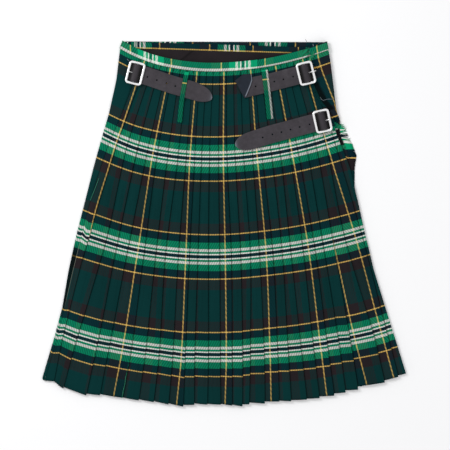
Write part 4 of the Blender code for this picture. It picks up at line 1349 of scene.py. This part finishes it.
def make_strap(strap):
    length = path_length(strap)
    body_end = TAB_END + RIGHT_BODY if strap.name == "right" else length - TIP_LENGTH
    places = spread(STRAP_START, body_end, ceil((body_end - STRAP_START) / STRAP_STEP))
    half = STRAP_HALF_WIDTH
    rows = [strap_row(strap, s, half, -half, lift_at(strap, s), buckle_shade(s)) for s in places]
    if strap.name == "right":
        rows += folded_rows()
    else:
        tip = TIPS[strap.name]
        for k in range(1, 19):
            s = length - TIP_LENGTH * (1 - sin(pi / 2 * k / 18.3))
            first, last = tip_sides(tip, length - s)
            # The tip's end is paler: its cut edge, with a painted highlight
            rows.append(strap_row(strap, s, first, last, STRAP_ON_CLOTH, -0.75 * (k / 18) ** 8))
    # The edges lie a little lower than the middle
    shaped = []
    for row in rows:
        line = []
        for k, (x, y, z, w, s, dark) in enumerate(row):
            side = abs(1 - 2 * k / STRAP_COLUMNS)
            line.append((x, y, z - EDGE_DROP * side ** 6, w, s, dark))
        shaped.append(line[::-1] if strap.heading > 0 else line)
    obj = woven("belt_" + strap.name, shaped, STRAP_LEATHER, LEATHER - 0.2)
    bake(obj)
    if strap.name == "right":
        obj.data.materials.append(STRAP_BACK)
        flap_x = (max(FOLD_LINE[0][0], FOLD_LINE[1][0]) + 12 - MIDDLE.x) * MM
        flap_z = (STRAP_ON_CLOTH + LEATHER / 2 + GAP) * MM
        for face in obj.data.polygons:
            if face.center.z > flap_z and face.center.x < flap_x:
                face.material_index = 1
    slot = Vector(strap.centre) - strap_axis(strap)[0] * SLOT_AT
    cut_slot(obj, (*slot, bulge_z(strap) - 4), (SLOT_LENGTH, PRONG + SLOT_CLEAR, 14), strap.turn)
    punch(obj, strap.holes)
    edge = obj.modifiers.new("edges", "BEVEL")
    edge.width = 0.5 * MM
    edge.segments = 2
    edge.limit_method = "ANGLE"
    edge.angle_limit = radians(50)
    finish_piece(obj, ["strap_" + strap.name])


def rounded_rectangle(length, width, radius, steps):
    points = []
    for corner, (sx, sy) in enumerate(((1, 1), (-1, 1), (-1, -1), (1, -1))):
        for k in range(steps + 1):
            angle = pi / 2 * (corner + k / steps)
            x = sx * (length / 2 - radius) + radius * cos(angle)
            y = sy * (width / 2 - radius) + radius * sin(angle)
            points.append((x, y))
    return points


def make_buckle(strap):
    """Frame, centre bar and prong of a buckle."""
    turned = Matrix.Rotation(strap.turn, 3, "Z")
    centre = Vector((*strap.centre, 0))
    outline = rounded_rectangle(RING_LENGTH - RING_WIDTH, RING_ACROSS - RING_WIDTH, BUCKLE_CORNER, 8)
    ring = [centre + turned @ Vector((x, y, frame_z(strap))) for x, y in outline]
    frame_wire = wire("ring_" + strap.name, ring, RING_WIDTH / 2, True, METAL, resolution=4)
    height = frame_z(strap) * MM
    for vert in frame_wire.data.vertices:
        vert.co.z = height + (vert.co.z - height) * BUCKLE_WIRE / RING_WIDTH
    reach = (BUCKLE_WIDTH - BUCKLE_WIRE) / 2 - 0.2
    ends = [centre + turned @ Vector((0, w, bar_z(strap))) for w in (-reach, reach)]
    bar = wire("bar_" + strap.name, ends, CENTRE_BAR / 2, False, METAL)
    obj = joined("clasp_" + strap.name, [frame_wire, bar])
    finish_piece(obj, ["buckle_" + strap.name])

    along = strap_axis(strap)[0]
    flat = Vector(strap.centre)
    low = bar_z(strap)
    rest = frame_z(strap) + BUCKLE_WIRE / 2 + GAP + PRONG / 2
    start = -(CENTRE_BAR / 2 + GAP + PRONG / 2)
    end = PRONG_END[strap.name]
    route = ((start, low), (-4.8, low - 0.6), (-7.2, low - 0.2), (-8.8, low + 1.2),
             (-9.8, rest - 0.6), (-11.2, rest), (-13, rest), (-end, rest - 0.2))
    points = [(*(flat + along * s), z) for s, z in route]
    tongue = wire("tongue_" + strap.name, points, PRONG / 2, False, METAL,
                  taper=(1, 1, 1, 1, 1, 0.95, 0.85, 0.6))
    finish_piece(tongue, ["prong_" + strap.name])


def make_tab(strap):
    """The leather strip that holds the centre bar, under the strap."""
    radius = CENTRE_BAR / 2 + GAP + TAB / 2
    centre_z = bar_z(strap)
    low = strap.seat + GAP + TAB / 2
    profile = [(TAB_END, low), (18, low), (8, low), (4.2, low + 0.9)]
    for k in range(17):
        angle = radians(-62) - radians(215) * k / 16
        profile.append((radius * cos(angle), centre_z + radius * sin(angle)))
    along, across = strap_axis(strap)
    centre = Vector(strap.centre)
    rows = []
    for s, z in profile:
        spot = centre + along * s
        rows.append([(*(spot + across * TAB_HALF_WIDTH * (k / 5 - 1)), z, 0, 0, 0) for k in range(11)])
    obj = woven("keeper_" + strap.name, rows, STRAP_BACK, TAB - 0.1)
    bake(obj)
    slot = centre - along * 2
    cut_slot(obj, (*slot, centre_z), (7, PRONG + SLOT_CLEAR, 6.6), strap.turn)
    finish_piece(obj, ["tab_" + strap.name])


# Fringe and facing of the over-apron's edge
FRINGE_TOP_Y = 257
FRINGE_SHOWN_Y = 10         # the tufts are set less closely below this row
FRINGE_END_Y = HEM_Y + 6
FRINGE_STEP = 0.55
FRINGE_WIDE_STEP = 1.6
EDGE_FACING_TOP = 128
EDGE_FACING_BOTTOM = 99
REACH = table("y length", (257, 4), (162, 4), (154, 1.5), (137, 1.5), (130, 8), (104, 11.5), (78, 12),
              (60, 9), (10, 10), (-320.5, 9))
STRIP = 2.4                 # part of a tuft that the edge still holds
CLUMPED_BELOW_Y = 104       # the tufts hold together below this row
LEAST_Z = 0.06


def edge_at(y):
    angle = pi * between(WRAP, "curl", y)
    last = wrap_section(y)[-1]
    return Vector(last[:3]), Vector((cos(angle), 0, sin(angle)))


def make_fringe():
    """Thin tufts of the weft's own colours, of uneven length and lean."""
    heights = []
    for top, bottom, step in ((FRINGE_TOP_Y, FRINGE_SHOWN_Y, FRINGE_STEP),
                              (FRINGE_SHOWN_Y, FRINGE_END_Y, FRINGE_WIDE_STEP)):
        heights += [top - step * k for k in range(int((top - bottom) / step))]
    bm = bmesh.new()
    weave = bm.loops.layers.uv.new("weave")
    for count, y in enumerate(heights):
        tip, along = edge_at(y)
        loose = 1 if y > CLUMPED_BELOW_Y else 0.3
        uneven = 0.92 + 0.20 * loose * sin(count * 2.7) * cos(count * 1.3)
        length = STRIP + between(REACH, "length", y) * uneven
        lean = loose * (0.16 * sin(count * 1.9) + 0.22 * sin(count * 0.37))
        wave = 0.25 * sin(count * 3.1)
        made = bmesh.ops.create_cone(bm, cap_ends=True, segments=6, radius1=(0.9 - 0.3 * loose) * MM,
                                     radius2=(0.8 - 0.5 * loose) * MM, depth=length * MM)
        ring = made["verts"]
        bmesh.ops.translate(bm, verts=ring, vec=(0, 0, length / 2 * MM))
        turn = Vector((0, 0, 1)).rotation_difference((along + Vector((0, lean, 0))).normalized())
        start = tip + along * 0.1 + Vector((0, 0, wave * abs(along.x)))
        place = Matrix.Translation(placed(start)) @ turn.to_matrix().to_4x4()
        bmesh.ops.transform(bm, matrix=place, verts=ring)
        for vert in ring:
            for face in vert.link_faces:
                for loop in face.loops:
                    loop[weave].uv = (0, (y + between(LAP_SLIP, "weft", y)) * MM)
    # No tuft goes below the surface that the kilt lies on
    for vert in bm.verts:
        vert.co.z = max(vert.co.z, LEAST_Z * MM)
    for face in bm.faces:
        face.smooth = True
    finish_piece(mesh_object("edge_fringe", bm, FRINGE_YARN), ["apron_fringe"])


def make_edge_facing():
    lines = []
    for y in spread(EDGE_FACING_TOP, EDGE_FACING_BOTTOM, 12):
        inner = row_value("right", y) + 0.6
        outer = edge_at(y)[0].x - 0.8
        lines.append([(x, weft_y(y, x), OVER_Z + LAYER, x, y, 0) for x in spread(inner, outer, 4)])
    obj = woven("edge_facing", lines, FACING_CLOTH)
    finish_piece(obj, ["apron_facing"])


# Loose threads
LAP_TOP = 10.2              # height of a thread that lies on the lap
ON_PLEATS = PLEAT_TOP + 0.55
LOOSE = [
    # finish, radius, height, and its spots on the photograph, from end to end
    ("white", 0.28, LAP_TOP, ((320.2, 97.4), (321.2, 99.4), (323.2, 100.6), (326, 99.6), (328.4, 99.2),
                              (333.4, 99.2))),
    ("white", 0.40, ON_PLEATS + 2, ((127.2, 59), (127.9, 60), (129, 61.3))),
    ("brown", 0.35, LAP_TOP, ((305.2, 39.4), (305.8, 40.4), (306.6, 41.8))),
    ("white", 0.45, LAP_TOP, ((312.6, 44.2), (313.4, 45.4), (313.1, 46.6))),
    ("pale_green", 0.42, ON_PLEATS, ((98.9, 178.5), (95.8, 186.5), (92.6, 194.5), (90.3, 200.5))),
    ("pale_green", 0.42, ON_PLEATS, ((125.6, 376), (125, 384), (123, 391), (122.2, 396.4))),
]
# A tuft of green ends and a few yellow ones come out beside the right buckle
for k in range(7):
    px = 309.6 + 0.75 * k
    py = 57 - 1.1 * k
    spots = ((px, py), (px - 0.3, py + 3 + k % 3), (px + 0.5 * (k % 2), py + 5.5 + k % 2))
    LOOSE.append(("green", 0.5, LAP_TOP + 0.5, spots))
for k in range(6):
    px = 314.2 + 0.85 * k
    LOOSE.append(("yellow", 0.42, LAP_TOP, ((px, 67 + k % 2), (px + 0.9, 68.6 - (k % 3) * 0.6))))


def make_loose_threads():
    made = {}
    finishes = {name: thread_finish(name + "_thread", colour) for name, colour in THREAD_COLOURS.items()}
    for count, (finish, radius, z, spots) in enumerate(LOOSE):
        points = [((px - PHOTO_MIDDLE[0]) * PIXEL, (PHOTO_MIDDLE[1] - py) * PIXEL, z) for px, py in spots]
        part = wire(f"thread_{count}", points, radius, False, finishes[finish], resolution=1)
        made.setdefault(finish, []).append(part)
    for finish, parts in made.items():
        finish_piece(joined("loose_" + finish, parts), [])


# Setting
def area_light(name, place, size, power):
    """A round light that looks at the kilt's middle."""
    data = bpy.data.lights.new(name, "AREA")
    data.shape = "DISK"
    data.size = size
    data.energy = power
    light = linked(name, data)
    light.location = place
    light.rotation_euler = (-Vector(place)).to_track_quat("-Z", "Y").to_euler()


def make_floor():
    bm = bmesh.new()
    bmesh.ops.create_grid(bm, x_segments=1, y_segments=1, size=4)
    floor = mesh_object("floor", bm, Nodes("pale_floor").surface((0.95, 0.95, 0.96), 0.9, 0))
    floor.location.z = -0.0002


IMAGE = 450
CAMERA_HEIGHT = 4


def make_camera():
    data = bpy.data.cameras.new("camera")
    data.sensor_width = 36
    data.lens = data.sensor_width * CAMERA_HEIGHT / (IMAGE * PIXEL * MM)
    data.clip_end = 20
    camera = linked("camera", data)
    x = (IMAGE / 2 - PHOTO_MIDDLE[0]) * PIXEL - MIDDLE.x
    y = (PHOTO_MIDDLE[1] - IMAGE / 2) * PIXEL - MIDDLE.y
    camera.location = (x * MM, y * MM, CAMERA_HEIGHT + PLEAT_TOP * MM)
    bpy.context.scene.camera = camera


def make_light():
    bpy.context.scene.view_settings.view_transform = "Standard"
    world = bpy.data.worlds.new("studio")
    bpy.context.scene.world = world
    world.use_nodes = True
    back = world.node_tree.nodes["Background"]
    back.inputs["Color"].default_value = (1, 1, 1, 1)
    back.inputs["Strength"].default_value = 0.72
    area_light("key", (-1.3, 0.9, 1.5), 0.8, 20)
    area_light("fill", (1.4, -0.8, 2), 1.6, 6)


APRON_OVER = make_over_apron()
APRON_UNDER = make_under_apron()
make_pleated_back()
make_inside()
make_waistband()
make_edge_facing()
make_fringe()
make_loose_threads()
for loop in LOOPS:
    make_loop(loop)
for strap in STRAPS:
    make_tab(strap)
    make_strap(strap)
    make_buckle(strap)
make_floor()
make_light()
make_camera()
